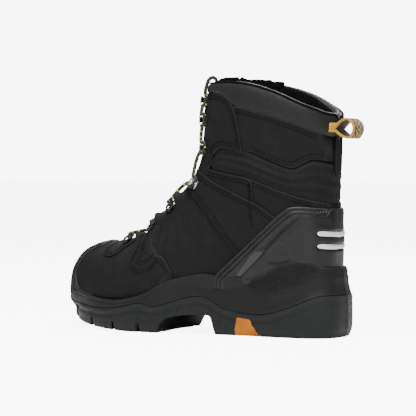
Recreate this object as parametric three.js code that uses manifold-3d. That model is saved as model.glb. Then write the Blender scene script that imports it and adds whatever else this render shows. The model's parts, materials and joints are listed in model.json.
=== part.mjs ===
// A steel toe work boot, left foot, in millimetres.
// +X points at the toe, +Y at the boot's left side, +Z up; the boot stands on Z = 0.
import * as THREE from "three";
import { mergeVertices } from "three/addons/utils/BufferGeometryUtils.js";
import Module from "manifold-3d";

const wasm = await Module();
wasm.setup();

// ---------------------------------------------------------------- driving dimensions
const GAP = 0.35;                 // clearance between neighbouring pieces
const LEATHER = 2.0;              // thickness of the outer leather
const MIDDLE_OUT = -2.35;         // outer face of toe cap, stiffener and foam
const MIDDLE_IN = -4.1;
const LINING_OUT = -4.8;
const LINING_IN = -6.3;
const OVERLAY_OUT = 2.6;          // outer face of the moulded overlays
const TAB_OUT = 2.0;              // outer face of the lace tab
const PAD_OUT = 1.4;              // the collar pad stands proud of the leather
const TONGUE_OUT = -7.3;          // tongue face under the eyestays
const TONGUE_IN = -12;
const TONGUE_CROWN = 4;           // how far the tongue bulges into the throat
const WIDE = 90;                  // more than any half width
const FAR = 200;                  // more than the distance from the origin to heel or toe
const SKY = 320;                  // above every piece
const GROUND = -30;               // below every piece
const BOARD = 2.0;                // insole board thickness
const FOOTBED = 5.0;
const LACE_RADIUS = 1.8;
const LACE_SIDES = 8;
const BODY_RINGS = 23;            // rings of the body's loft, from the toe tip up the shaft
const AROUND = 20;                // points round each ring

// Sections of the foot and shaft, from the toe tip to above the collar. Each is an oval
// between a front point and a back point in the side view: front x and z, back x and z,
// half width, centre y, how far from the front the oval is widest, and the power of its
// front and back halves (2 is an ellipse, 3 is boxier).
const SECTIONS = [
  [156, 46, 156, 36, 4, -14, 0.5, 2, 2],
  [154, 63, 155, 24, 21, -13, 0.55, 2.1, 2.4],
  [147, 74, 150, 20, 32, -11, 0.6, 2.1, 2.8],
  [135, 81, 139, 18, 40, -8.5, 0.62, 2.2, 3],
  [117, 85, 120, 17, 45, -5.5, 0.63, 2.2, 3],
  [95, 86, 97, 17, 48.5, -2.5, 0.64, 2.1, 3],
  [73, 93, 70, 18, 49, 0.5, 0.66, 2, 3],
  [50, 111, 36, 20, 45.5, 2.5, 0.66, 2, 3],
  [27, 137, -8, 24, 39.5, 2.5, 0.62, 2, 2.9],
  [10, 163, -66, 26, 40, 1, 0.54, 2, 2.8],
  [4, 186, -127, 33, 42.5, 0, 0.5, 2, 2.6],
  [2, 206, -139, 84, 45, 0, 0.5, 2, 2.4],
  [1, 224, -136.5, 132, 46, 0, 0.5, 2, 2.3],
  [-3, 241, -138, 184, 46, 0, 0.5, 2.1, 2.3],
  [-10, 262, -140, 240, 46, 0, 0.5, 2.2, 2.3],
];
const LAST_SECTION = SECTIONS.length - 1;

// Plan outline of the sole: x, left half width, right half width.
const SOLE_PLAN = [
  [-150, 0, 0],
  [-145, 22, 22],
  [-130, 35, 35],
  [-110, 40, 40],
  [-80, 41, 40],
  [-50, 41, 38],
  [-20, 42, 37],
  [10, 47, 40],
  [40, 53, 46],
  [70, 54, 53],
  [100, 49, 55],
  [125, 38, 52],
  [145, 20, 43],
  [155, 4, 30],
  [159, -14, 14],
];
// How far the sole wall leans in at each height.
const SOLE_WALL = [
  [-2, 4], [2, 2.4], [6, 0.8], [12, 0], [30, 0], [46, 1.5], [60, 4], [75, 8], [95, 14],
];

// Side-view lines, x and z, heel to toe unless said.
const TREAD_LINE = [
  [-160, 0], [70, 0], [90, 1.2], [112, 3.2], [130, 6], [142, 9], [152, 14], [162, 22],
];
const OUTSOLE_EDGE = [
  [-165, 40.5], [-140, 41], [-128, 38.5], [-109, 30.5], [-87, 23.5], [-72, 21.5], [-55, 22.5],
  [-35, 26.5], [-24, 32.5], [-13, 36.5], [0, 36], [21, 30], [32, 26.8], [41, 25.8], [53, 29],
  [73, 24.5], [90, 22.5], [112, 23], [138, 26.5], [147, 30.5], [170, 38],
];
const MIDSOLE_EDGE = [
  [-165, 67], [-136, 68], [-128, 72.5], [-116, 74], [-96, 70], [-78, 61], [-66, 57.5], [-45, 57],
  [-27, 58], [-12, 59], [17, 53], [34, 46], [47, 38.5], [69, 32.5], [88, 31], [115, 34],
  [135, 38], [170, 44],
];
const FOOT_FLOOR = [
  [-165, 37], [-110, 37], [-60, 36], [-10, 33], [40, 28.5], [80, 27], [120, 28.5], [170, 33],
];
const CORE_FLOOR = [[-165, 15], [-88, 15], [-82, 25], [42, 25], [48, 15], [120, 17], [165, 22]];
const RIM_LINE = [
  [200, 250], [60, 250], [-8, 246.5], [-25, 246], [-47, 246.5], [-64, 244.5], [-80, 240.5], [-98, 234],
  [-116, 225], [-128, 219.5], [-138, 214.5], [-175, 205],
];

// ---------------------------------------------------------------- curves and solids
function spline(points, perSpan = 2) {
  const curve = new THREE.SplineCurve(points.map(([x, y]) => new THREE.Vector2(x, y)));
  return curve.getPoints((points.length - 1) * perSpan).map((p) => [p.x, p.y]);
}

function lineHeight(line, x) {
  const last = line.length - 1;
  let i = 0;
  while (i < last - 1 && x > line[i + 1][0]) i += 1;
  const [x0, z0] = line[i];
  const [x1, z1] = line[i + 1];
  const t = THREE.MathUtils.clamp((x - x0) / (x1 - x0), 0, 1);
  return z0 + (z1 - z0) * t;
}

function solid(geometry) {
  const bare = geometry.clone();
  bare.deleteAttribute("normal");
  bare.deleteAttribute("uv");
  const merged = mergeVertices(bare, 1e-5);
  return new wasm.Manifold(new wasm.Mesh({
    numProp: 3,
    vertProperties: new Float32Array(merged.attributes.position.array),
    triVerts: new Uint32Array(merged.index.array),
  }));
}

const SIMPLIFY = 0.08;
function geometryOf(shape) {
  const mesh = shape.asOriginal().simplify(SIMPLIFY).getMesh();
  const geometry = new THREE.BufferGeometry();
  const corners = new Float32Array(mesh.vertProperties);
  geometry.setAttribute("position", new THREE.BufferAttribute(corners, 3));
  geometry.setIndex(new THREE.BufferAttribute(new Uint32Array(mesh.triVerts), 1));
  const flat = geometry.toNonIndexed();
  flat.computeVertexNormals();
  return flat;
}

function signedArea(points) {
  return points.reduce((sum, [x, y], i) => {
    const [nx, ny] = points[(i + 1) % points.length];
    return sum + (x * ny - nx * y) / 2;
  }, 0);
}

// The outline moved outward by a distance.
function grown(points, distance) {
  const turn = Math.sign(signedArea(points));
  const count = points.length;
  return points.map(([x, y], i) => {
    const before = points[(i + count - 1) % count];
    const after = points[(i + 1) % count];
    const a = new THREE.Vector2(x - before[0], y - before[1]).normalize();
    const b = new THREE.Vector2(after[0] - x, after[1] - y).normalize();
    const na = new THREE.Vector2(a.y, -a.x).multiplyScalar(turn);
    const nb = new THREE.Vector2(b.y, -b.x).multiplyScalar(turn);
    const mitre = na.add(nb);
    const length = Math.max(mitre.lengthSq() / 2, 0.5);
    return [x + (mitre.x * distance) / length, y + (mitre.y * distance) / length];
  });
}

function extruded(points, depth) {
  const shape = new THREE.Shape(points.map(([x, y]) => new THREE.Vector2(x, y)));
  return new THREE.ExtrudeGeometry(shape, { depth, bevelEnabled: false });
}

// A prism over an outline in the side view, from one y to another.
function sidePrism(points, yFrom = -WIDE, yTo = WIDE) {
  return solid(extruded(points, yTo - yFrom).rotateX(Math.PI / 2).translate(0, yTo, 0));
}

// A prism over an outline in the plan view, from one z to another.
function planPrism(points, zFrom, zTo) {
  return solid(extruded(points, zTo - zFrom).translate(0, 0, zFrom));
}

function box(x0, x1, y0, y1, z0, z1) {
  const geometry = new THREE.BoxGeometry(x1 - x0, y1 - y0, z1 - z0);
  return solid(geometry.translate((x0 + x1) / 2, (y0 + y1) / 2, (z0 + z1) / 2));
}

const above = (line, lift = 0) => sidePrism([
  ...line.map(([x, z]) => [x, z + lift]),
  [line[line.length - 1][0], SKY],
  [line[0][0], SKY],
]);
const below = (line, lift = 0) => sidePrism([
  ...line.map(([x, z]) => [x, z + lift]),
  [line[line.length - 1][0], GROUND],
  [line[0][0], GROUND],
]);

// ---------------------------------------------------------------- the boot's body surface
function section(u) {
  const i = Math.min(Math.floor(u), LAST_SECTION - 1);
  const t = u - i;
  const b = SECTIONS[i];
  const c = SECTIONS[i + 1];
  const a = SECTIONS[i - 1] ?? b.map((v, k) => 2 * v - c[k]);
  const d = SECTIONS[i + 2] ?? c.map((v, k) => 2 * v - b[k]);
  return b.map((_, k) => 0.5 * (2 * b[k] + (c[k] - a[k]) * t
    + (2 * a[k] - 5 * b[k] + 4 * c[k] - d[k]) * t * t
    + (3 * b[k] - a[k] - 3 * c[k] + d[k]) * t * t * t));
}

// A point of the surface: u runs over the sections, phi goes round from the front (0)
// over the left side (a quarter turn) to the back (half a turn).
function surfacePoint(u, phi) {
  const [frontX, frontZ, backX, backZ, half, centreY, widest, frontPower, backPower] = section(u);
  const cos = Math.cos(phi);
  const sin = Math.sin(phi);
  const mix = THREE.MathUtils.smoothstep((1 - cos) / 2, 0, 1);
  const power = THREE.MathUtils.lerp(frontPower, backPower, mix);
  const r = (Math.abs(cos) ** power + Math.abs(sin) ** power) ** (-1 / power);
  const along = (r * cos > 0 ? widest : 1 - widest) * r * cos;
  const x = frontX + widest * (backX - frontX) + along * (frontX - backX);
  const z = frontZ + widest * (backZ - frontZ) + along * (frontZ - backZ);
  return new THREE.Vector3(x, centreY + half * r * sin, z);
}

function surfaceNormal(u, phi) {
  const e = 1e-3;
  const ahead = surfacePoint(Math.min(u + e, LAST_SECTION), phi);
  const alongU = ahead.sub(surfacePoint(Math.max(u - e, 0), phi));
  const alongPhi = surfacePoint(u, phi + e).sub(surfacePoint(u, phi - e));
  return alongPhi.cross(alongU).normalize();
}

function offsetPoint(u, phi, offset) {
  return surfacePoint(u, phi).addScaledVector(surfaceNormal(u, phi), offset);
}

// The body as a closed loft, its skin moved out by an offset (a number or a function of u, phi).
function body(offset) {
  const offsetAt = typeof offset === "function" ? offset : () => offset;
  const start = Math.max(0, -0.12 * offsetAt(0, Math.PI));
  const rings = BODY_RINGS;
  const vertices = [];
  const triangles = [];
  for (let i = 0; i <= rings; i += 1) {
    const u = start + ((LAST_SECTION - start) * i) / rings;
    for (let j = 0; j < AROUND; j += 1) {
      const phi = (2 * Math.PI * j) / AROUND;
      vertices.push(...offsetPoint(u, phi, offsetAt(u, phi)).toArray());
    }
  }
  for (let i = 0; i < rings; i += 1) {
    for (let j = 0; j < AROUND; j += 1) {
      const a = i * AROUND + j;
      const b = i * AROUND + ((j + 1) % AROUND);
      triangles.push(a, b, b + AROUND, a, b + AROUND, a + AROUND);
    }
  }
  for (const [ring, flip] of [[0, true], [rings, false]]) {
    const centre = vertices.length / 3;
    const middle = new THREE.Vector3();
    for (let j = 0; j < AROUND; j += 1) {
      middle.add(new THREE.Vector3().fromArray(vertices, (ring * AROUND + j) * 3));
    }
    vertices.push(...middle.divideScalar(AROUND).toArray());
    for (let j = 0; j < AROUND; j += 1) {
      const a = ring * AROUND + j;
      const b = ring * AROUND + ((j + 1) % AROUND);
      triangles.push(...(flip ? [centre, b, a] : [centre, a, b]));
    }
  }
  const geometry = new THREE.BufferGeometry();
  geometry.setAttribute("position", new THREE.Float32BufferAttribute(vertices, 3));
  geometry.setIndex(triangles);
  return solid(geometry);
}

// ---------------------------------------------------------------- cutters shared by the upper
const skin = body(0);
const aboveFloor = above(FOOT_FLOOR);
const belowRim = below(spline(RIM_LINE));

// The throat, where the tongue shows between the eyestays: x and half width, seen from above.
const THROAT = [
  [96, 0], [95, 9], [91, 14], [84, 15.7], [60, 16.2], [30, 17], [0, 19], [-20, 20], [-42, 20],
];
const THROAT_CENTRE = [[-42, 0], [5, 0.5], [15, 1.5], [27, 2.5], [50, 2.5], [73, 0.5], [96, -2.5]];
const THROAT_LOW = 62;
const THROAT_HIGH = 300;
function throatSide(side) {
  return spline(THROAT).map(([x, w]) => [x, lineHeight(THROAT_CENTRE, x) + side * w]);
}
const throatPlan = [...throatSide(1), ...throatSide(-1).reverse().slice(0, -1)];
const throat = planPrism(throatPlan, THROAT_LOW, THROAT_HIGH);

// A layer of the upper between two offsets from the skin.
function shell(outer, inner) {
  return body(outer).subtract(body(inner)).intersect(aboveFloor).intersect(belowRim);
}

// ---------------------------------------------------------------- leather panels
// Outlines in the side view. Each panel gives way to the ones listed before it.
const VAMP_REAR = spline([
  [14, 15], [17, 52], [23, 66], [30, 75], [36, 75.5], [42, 69], [52, 63.5], [60, 67], [58, 76],
  [57, 86], [60, 97], [62, 120],
]);
const QUARTER_REAR = spline([
  [-84, 12], [-62, 62], [-49, 80], [-33, 99], [-16, 119], [7, 138.5], [24, 153], [60, 180],
]);
const REAR_QUARTER_TOP = spline([
  [-170, 106], [-120, 107], [-100, 112], [-88, 119], [-72, 129], [-46, 140], [-19, 151], [-4, 158],
  [14, 167], [60, 190],
]);
const STRAP_OUTLINE = [
  [-72, 90], [-72, 140],
  ...spline([[-66, 152], [-42, 157], [-22, 160.5]]),
  [-14, 150], [-14, 90],
];
const REAR_ANKLE_TOP = spline([[-170, 127], [-134, 129.5], [-103, 139], [-71, 151], [-60, 154]]);
const FLEX_OUTLINE = [
  ...spline([
    [-22, 155], [-19, 165], [-22, 175], [-33, 182.5], [-62, 180], [-85, 171], [-107, 162.5],
    [-117, 166], [-126, 170.5], [-138, 168], [-170, 160],
  ]),
  [-170, 90],
  [-22, 90],
];
const EYESTAY_OUTLINE = [
  [-66, 140],
  ...spline([[-63, 181], [-55, 204], [-47, 225], [-36, 233], [-20, 235.5], [60, 238]]),
  [60, 140],
];
const UPPER_COLLAR_OUTLINE = [
  [-40, 140], [-40, 222],
  ...spline([[-51, 222], [-83, 214], [-112, 204], [-131, 195.5], [-175, 180]]),
  [-175, 140],
];

const PANELS = [
  ["vamp", false, [...VAMP_REAR, [175, 120], [175, 15]]],
  ["quarter", true, [...QUARTER_REAR, [150, 180], [150, 12]]],
  ["rear_quarter", true, [...REAR_QUARTER_TOP, [60, 12], [-170, 12]]],
  ["ankle_strap", true, STRAP_OUTLINE],
  ["rear_ankle_panel", false, [...REAR_ANKLE_TOP, [-60, 90], [-170, 90]]],
  ["ankle_flex", true, FLEX_OUTLINE],
  ["eyestay", true, EYESTAY_OUTLINE],
  ["upper_collar_panel", false, UPPER_COLLAR_OUTLINE],
];

const LEATHER_LOOK = { color: 0x262626, roughness: 0.82, metalness: 0 };
const SOFT_LOOK = { color: 0x3a3b3c, roughness: 0.7, metalness: 0 };
const MESH_LOOK = { color: 0x2b2c2e, roughness: 0.95, metalness: 0 };
const MIDSOLE_LOOK = { color: 0x2a2b2c, roughness: 0.75, metalness: 0 };
const OUTSOLE_LOOK = { color: 0x3a3d41, roughness: 0.7, metalness: 0 };
const TPU_LOOK = { color: 0x33363a, roughness: 0.45, metalness: 0 };
const ORANGE_LOOK = { color: 0xd97a1e, roughness: 0.55, metalness: 0 };
const STEEL_LOOK = { color: 0xa8abb0, roughness: 0.35, metalness: 1 };
const GUNMETAL_LOOK = { color: 0x4a4c50, roughness: 0.35, metalness: 1 };
const SILVER_LOOK = { color: 0xd6dadd, roughness: 0.4, metalness: 0 };
const BOARD_LOOK = { color: 0x8a7456, roughness: 0.9, metalness: 0 };
const FOAM_LOOK = { color: 0x55585c, roughness: 0.95, metalness: 0 };
const LACE_LOOK = { color: 0x16161a, roughness: 0.85, metalness: 0 };
const LOOP_LOOK = { color: 0xc9962c, roughness: 0.8, metalness: 0 };

const group = new THREE.Group();

function add(name, geometry, look) {
  const mesh = new THREE.Mesh(geometry, new THREE.MeshStandardMaterial(look));
  mesh.name = name;
  group.add(mesh);
  return mesh;
}

const SIDES = [["left", 1], ["right", -1]];
// Everything on one side of the boot's middle plane.
function halfSpace(side) {
  const low = side > 0 ? GAP / 2 : -WIDE;
  const high = side > 0 ? WIDE : -GAP / 2;
  return box(-FAR, FAR, low, high, GROUND, SKY);
}

const leather = shell(0, -LEATHER).subtract(throat);
let taken = null;
for (const [name, paired, outline] of PANELS) {
  const region = sidePrism(outline);
  let piece = leather.intersect(region);
  if (taken) piece = piece.subtract(taken);
  for (const [sideName, side] of paired ? SIDES : [["", 0]]) {
    const part = side ? piece.intersect(halfSpace(side)) : piece;
    add(side ? `${name}_${sideName}` : name, geometryOf(part), LEATHER_LOOK);
  }
  const reserved = sidePrism(grown(outline, GAP));
  taken = taken ? taken.add(reserved) : reserved;
}

// The collar pad is all that is left of the skin up to the rim.
const collarPad = shell(PAD_OUT, -LEATHER).subtract(throat).subtract(taken);
add("collar_pad", geometryOf(collarPad), SOFT_LOOK);

// The lace tab is sewn over the vamp, in front of and beside the end of the throat.
const TAB_HALF = spline([
  [103, 0], [105, 14], [108, 24], [105, 33], [95, 37], [87, 35], [82, 29], [72, 25], [63, 24],
]);
const TAB_CENTRE_Y = -2;
const TAB_LOW = 60;
const TAB_HIGH = 140;
const tabPlan = [...TAB_HALF, ...TAB_HALF.map(([x, y]) => [x, -y]).reverse().slice(0, -1)]
  .map(([x, y]) => [x, y + TAB_CENTRE_Y]);
const laceTab = body(TAB_OUT)
  .subtract(body(GAP))
  .intersect(planPrism(tabPlan, TAB_LOW, TAB_HIGH))
  .subtract(throat);
add("lace_tab", geometryOf(laceTab), LEATHER_LOOK);

// ---------------------------------------------------------------- hidden layers of the upper
const middle = shell(MIDDLE_OUT, MIDDLE_IN).subtract(throat);
const TOE_CAP_REAR = spline([[92, 15], [95, 40], [101, 66], [106, 90], [110, 120]]);
const toeCap = middle.intersect(sidePrism([...TOE_CAP_REAR, [175, 120], [175, 15]]));
add("steel_toe_cap", geometryOf(toeCap), STEEL_LOOK);
const STIFFENER_OUTLINE = [
  [-172, 15], [-68, 15],
  ...spline([[-60, 45], [-74, 82], [-100, 108], [-128, 116]]),
  [-172, 117],
];
add("heel_stiffener", geometryOf(middle.intersect(sidePrism(STIFFENER_OUTLINE))), BOARD_LOOK);
const FOAM_OUTLINE = [
  [-46, SKY], [-46, 218],
  ...spline([[-60, 205], [-100, 194], [-175, 178]]),
  [-175, SKY],
];
add("collar_foam", geometryOf(middle.intersect(sidePrism(FOAM_OUTLINE))), FOAM_LOOK);

const TONGUE_HALF_WIDTH = 34;
const TONGUE_ROOM = 3;            // how far the lining stays from the tongue
const TONGUE_REAR = spline([
  [100, 40], [92, 62], [84, 72], [50, 85], [20, 105], [-10, 135], [-35, 170], [-50, 210],
  [-58, 262],
]);
const tongueOutline = [...TONGUE_REAR, [60, 262], [102, 140]];
const tongueZone = sidePrism(tongueOutline, -TONGUE_HALF_WIDTH, TONGUE_HALF_WIDTH);
const liningCutWidth = TONGUE_HALF_WIDTH + TONGUE_ROOM;
const liningCut = sidePrism(
  grown([...TONGUE_REAR, [60, 300], [100, 140], [100, 60]], TONGUE_ROOM),
  -liningCutWidth,
  liningCutWidth,
);
const lining = shell(LINING_OUT, LINING_IN).subtract(liningCut).subtract(throat);
add("lining", geometryOf(lining), MESH_LOOK);

// The tongue bulges into the throat: fully within 0.2 radians of the front, no more past
// 0.44, and starting between the sections that the throat's end lies on.
function tongueOffset(u, phi) {
  const turn = Math.abs(THREE.MathUtils.euclideanModulo(phi + Math.PI, 2 * Math.PI) - Math.PI);
  const across = 1 - THREE.MathUtils.smoothstep(turn, 0.2, 0.44);
  return TONGUE_OUT + TONGUE_CROWN * THREE.MathUtils.smoothstep(u, 5.2, 5.9) * across;
}
const tongueSkin = body(tongueOffset);
const TONGUE_TOP = spline([[-80, 246], [-60, 251], [-40, 254.5], [-20, 255], [60, 255], [200, 255]]);
const tongue = tongueSkin.subtract(body(TONGUE_IN)).intersect(tongueZone).intersect(below(TONGUE_TOP));
add("tongue", geometryOf(tongue), MESH_LOOK);

// ---------------------------------------------------------------- sole unit
function soleOutline(inset) {
  const left = spline(SOLE_PLAN.map(([x, l]) => [x, l])).reverse();
  const right = spline(SOLE_PLAN.map(([x, , r]) => [x, -r]));
  return grown([...right.slice(1), ...left.slice(1)], -inset);
}

function soleBlock(inset, wall) {
  const outlines = wall.map(([z, lean]) => soleOutline(inset + lean).map(([x, y]) => [x, y, z]));
  const count = outlines[0].length;
  const vertices = outlines.flat(2);
  const triangles = [];
  for (let k = 0; k < outlines.length - 1; k += 1) {
    for (let i = 0; i < count; i += 1) {
      const a = k * count + i;
      const b = k * count + ((i + 1) % count);
      triangles.push(a, b, b + count, a, b + count, a + count);
    }
  }
  const bottom = outlines[0].map(([x, y]) => new THREE.Vector2(x, y));
  const top = outlines[outlines.length - 1].map(([x, y]) => new THREE.Vector2(x, y));
  const lastRing = (outlines.length - 1) * count;
  THREE.ShapeUtils.triangulateShape(bottom, []).forEach(([a, b, c]) => triangles.push(c, b, a));
  THREE.ShapeUtils.triangulateShape(top, []).forEach(([a, b, c]) => {
    triangles.push(lastRing + a, lastRing + b, lastRing + c);
  });
  const geometry = new THREE.BufferGeometry();
  geometry.setAttribute("position", new THREE.Float32BufferAttribute(vertices, 3));
  geometry.setIndex(triangles);
  return solid(geometry);
}

const UPPER_GAP = 0.4;            // between the upper and the sole around it
const SOLE_LAP = 6;               // how far the sole's lip reaches under the foot's floor
const footRoom = body(UPPER_GAP).intersect(above(FOOT_FLOOR, -GAP));
const soleSolid = soleBlock(0, SOLE_WALL)
  .add(body(OVERLAY_OUT + UPPER_GAP).intersect(above(FOOT_FLOOR, -SOLE_LAP)))
  .intersect(above(TREAD_LINE));
const CORE_INSET = 9;
const CORE_WALL = [[-2, 0], [60, 0]];
const core = soleBlock(CORE_INSET, CORE_WALL).intersect(above(CORE_FLOOR));

// Tread: the arch void, the gaps between the lugs and a groove along the middle.
const ARCH_VOID = [
  [-25, -5], [-22, 15], ...spline([[-19, 18.5], [-8, 19], [12, 17.5], [24, 14.5], [30, 9]]), [33, -5],
];
const LUG_GAPS = [141, 112, 84, 54];
const LUG_GAP_WIDTH = 4;
const LUG_GAP_HEIGHT = 8.5;
const HEEL_GAPS = [-100, -122];
const HEEL_GAP_HEIGHT = 6;
const HEEL_GAP_REACH = 24;
const TREAD_CUT_BOTTOM = -5;
const INSERT_OUTLINE = [[-47, -5], [-50, 19], [-64, 18], [-70, 8], [-75, -5]];
function treadCut(x, reach, top) {
  const half = LUG_GAP_WIDTH / 2;
  return box(x - half, x + half, -reach, reach, TREAD_CUT_BOTTOM, top);
}
const treadCuts = [
  ...LUG_GAPS.map((x) => treadCut(x, WIDE, lineHeight(TREAD_LINE, x) + LUG_GAP_HEIGHT)),
  ...HEEL_GAPS.map((x) => treadCut(x, HEEL_GAP_REACH, HEEL_GAP_HEIGHT)),
];

let outsole = soleSolid.intersect(below(OUTSOLE_EDGE)).subtract(core).subtract(footRoom);
outsole = outsole.subtract(sidePrism(ARCH_VOID)).subtract(sidePrism(grown(INSERT_OUTLINE, GAP)));
for (const cut of treadCuts) outsole = outsole.subtract(cut);
add("outsole", geometryOf(outsole), OUTSOLE_LOOK);

const INSERT_INSET = 0.6;         // the insert lies this far inside the sole's faces
const insertBlock = soleBlock(INSERT_INSET, SOLE_WALL)
  .intersect(above([[-FAR, INSERT_INSET], [FAR, INSERT_INSET]]))
  .intersect(sidePrism(INSERT_OUTLINE));
add("heel_shock_insert", geometryOf(insertBlock), ORANGE_LOOK);

// The shank lies in a slot in the floor of the midsole, under the insole board.
const SHANK_HALF_WIDTH = 9;
const SHANK_THICKNESS = 1.6;
const SHANK_REAR = -85;
const SHANK_FRONT = 52;
const SHANK_SLOT_TOP = 5;

// A plate that follows the foot's floor between two heights over it.
function floorBand(from, to, x0, x1, halfWidth) {
  const line = FOOT_FLOOR.filter(([x]) => x > x0 && x < x1);
  const ends = [[x0, lineHeight(FOOT_FLOOR, x0)], ...line, [x1, lineHeight(FOOT_FLOOR, x1)]];
  const lower = ends.map(([x, z]) => [x, z + from]);
  const upper = ends.map(([x, z]) => [x, z + to]).reverse();
  return sidePrism([...lower, ...upper], -halfWidth, halfWidth);
}

const shankTop = -2 * GAP;
const shankBottom = shankTop - SHANK_THICKNESS;
const shank = floorBand(shankBottom, shankTop, SHANK_REAR, SHANK_FRONT, SHANK_HALF_WIDTH);
add("steel_shank", geometryOf(shank), STEEL_LOOK);
const shankSlot = floorBand(
  shankBottom - GAP,
  SHANK_SLOT_TOP,
  SHANK_REAR - GAP,
  SHANK_FRONT + GAP,
  SHANK_HALF_WIDTH + GAP,
);

const midsoleCore = soleBlock(CORE_INSET + GAP, CORE_WALL).intersect(above(CORE_FLOOR, GAP));
const midsole = soleSolid
  .intersect(above(OUTSOLE_EDGE, GAP))
  .add(midsoleCore.intersect(soleSolid))
  .intersect(below(MIDSOLE_EDGE))
  .subtract(footRoom)
  .subtract(shankSlot);
add("midsole", geometryOf(midsole), MIDSOLE_LOOK);

// ---------------------------------------------------------------- insole board and footbed
const BOARD_REAR = -160;
const BOARD_FRONT = 165;
const FOOTBED_FRONT = 142;
const insideLining = body(LINING_IN - GAP);
const boardBand = floorBand(GAP, GAP + BOARD, BOARD_REAR, BOARD_FRONT, WIDE);
add("insole_board", geometryOf(insideLining.intersect(boardBand)), BOARD_LOOK);
const footbedBase = 2 * GAP + BOARD;
const footbedTop = footbedBase + FOOTBED;
const footbedBand = floorBand(footbedBase, footbedTop, BOARD_REAR, FOOTBED_FRONT, WIDE);
add("footbed", geometryOf(insideLining.intersect(footbedBand)), FOAM_LOOK);

// ---------------------------------------------------------------- moulded overlays
const overlay = body(OVERLAY_OUT).subtract(body(GAP)).intersect(above(MIDSOLE_EDGE, GAP));
const BUMPER_REAR = spline([
  [92, 20], [110, 33], [131, 41], [138, 52], [137, 63], [132, 73], [124, 79.5], [114, 84], [106, 100],
]);
const bumper = overlay.intersect(sidePrism([...BUMPER_REAR, [175, 100], [175, 20]]));
add("toe_bumper", geometryOf(bumper), MIDSOLE_LOOK);

const COUNTER_OUTLINE = [
  [-22, 50], [-27, 58], [-66, 92], [-103, 124.5], [-116, 126], [-134, 124], [-172, 121],
  [-172, 50],
];
const WINDOW_OUTLINE = [[-48, 61], [-56, 59], [-82, 82], [-70, 84]];
const STRIP_CENTRES = [97.5, 87];
const STRIP_HALF_HEIGHT = 2.1;
const STRIP_FRONT = -124;
const STRIP_REAR = -172;
const STRIP_POINT = 3;            // length of the strip's pointed front
const STRIP_DROP = 2.5;           // how much lower the strip is at the back
const STRIP_RECESS = 1.5;
const STRIP_PROUD = 0.1;          // the strip stands this far off the counter
const STRIP_FLOOR_GAP = 0.3;
const stripOutline = (z, extra) => [
  [STRIP_FRONT + STRIP_POINT + extra, z],
  [STRIP_FRONT, z + STRIP_HALF_HEIGHT + extra],
  [STRIP_REAR, z - STRIP_DROP + STRIP_HALF_HEIGHT + extra],
  [STRIP_REAR, z - STRIP_DROP - STRIP_HALF_HEIGHT - extra],
  [STRIP_FRONT, z - STRIP_HALF_HEIGHT - extra],
];
let counter = overlay.intersect(sidePrism(COUNTER_OUTLINE));
counter = counter.subtract(sidePrism(WINDOW_OUTLINE).subtract(body(STRIP_RECESS)));
for (const z of STRIP_CENTRES) {
  counter = counter.subtract(sidePrism(stripOutline(z, GAP)).subtract(body(STRIP_RECESS)));
}
add("heel_counter", geometryOf(counter), TPU_LOOK);
const stripLayer = body(OVERLAY_OUT + STRIP_PROUD).subtract(body(STRIP_RECESS + STRIP_FLOOR_GAP));
["upper", "lower"].forEach((name, i) => {
  const strip = stripLayer.intersect(sidePrism(stripOutline(STRIP_CENTRES[i], 0)));
  add(`reflective_strip_${name}`, geometryOf(strip), SILVER_LOOK);
});

// ---------------------------------------------------------------- back tab and pull loop
const BACK_TAB_OUT = 2.0;
const BACK_TAB_TOP = 192;
const BACK_TAB_REAR = -170;       // the prism that cuts the tab starts behind the heel
const BACK_TAB_DEPTH = 70;
const ANCHOR_THICKNESS = 1.8;
const backLayer = body(BACK_TAB_OUT).subtract(body(GAP));
// The tab's left half, seen from behind: y and z.
const BACK_TAB = spline([[7, 199], [7, 165], [4.5, 157], [0, 154.5]]);
const backTabFront = [...BACK_TAB, ...BACK_TAB.map(([y, z]) => [-y, z]).reverse().slice(1)];
const backTabPrism = solid(extruded(backTabFront, BACK_TAB_DEPTH)
  .rotateX(Math.PI / 2)
  .rotateZ(Math.PI / 2)
  .translate(BACK_TAB_REAR, 0, 0));
const backTab = backLayer
  .intersect(backTabPrism)
  .intersect(below([[-FAR, BACK_TAB_TOP], [0, BACK_TAB_TOP]]));
add("back_tab", geometryOf(backTab), LEATHER_LOOK);
const collarLayer = body(PAD_OUT + ANCHOR_THICKNESS).subtract(body(PAD_OUT + GAP));

const LOOP_HALF_WIDTH = 13;
const LOOP_CENTRE_Y = 5;
const LOOP_THICKNESS = 1.7;
const ANCHOR_LOW = 197;
const ANCHOR_HIGH = 206;
const ANCHOR_REAR = -160;
const ANCHOR_FRONT = -110;
const yNear = LOOP_CENTRE_Y + LOOP_HALF_WIDTH;
const yFar = LOOP_CENTRE_Y - LOOP_HALF_WIDTH;
const anchorBlock = box(ANCHOR_REAR, ANCHOR_FRONT, yFar, yNear, ANCHOR_LOW, ANCHOR_HIGH);
add("pull_loop_anchor", geometryOf(collarLayer.intersect(anchorBlock)), LOOP_LOOK);

const LOOP_ROOT = new THREE.Vector2(-141.9, 201);
const LOOP_SIDE = [
  [0, 0], [-7, 7.6], [-14, 9.4], [-20, 4.5], [-21, -3], [-16, -10], [-8, -8.2], [0, 0],
];
const teardrop = spline(LOOP_SIDE, 3)
  .slice(0, -1)
  .map(([x, z]) => [x + LOOP_ROOT.x, z + LOOP_ROOT.y]);
const loopOuter = sidePrism(teardrop, yFar, yNear);
const loopInner = sidePrism(grown(teardrop, -LOOP_THICKNESS), yFar - 1, yNear + 1);
add("pull_loop", geometryOf(loopOuter.subtract(loopInner)), LOOP_LOOK);

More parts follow.
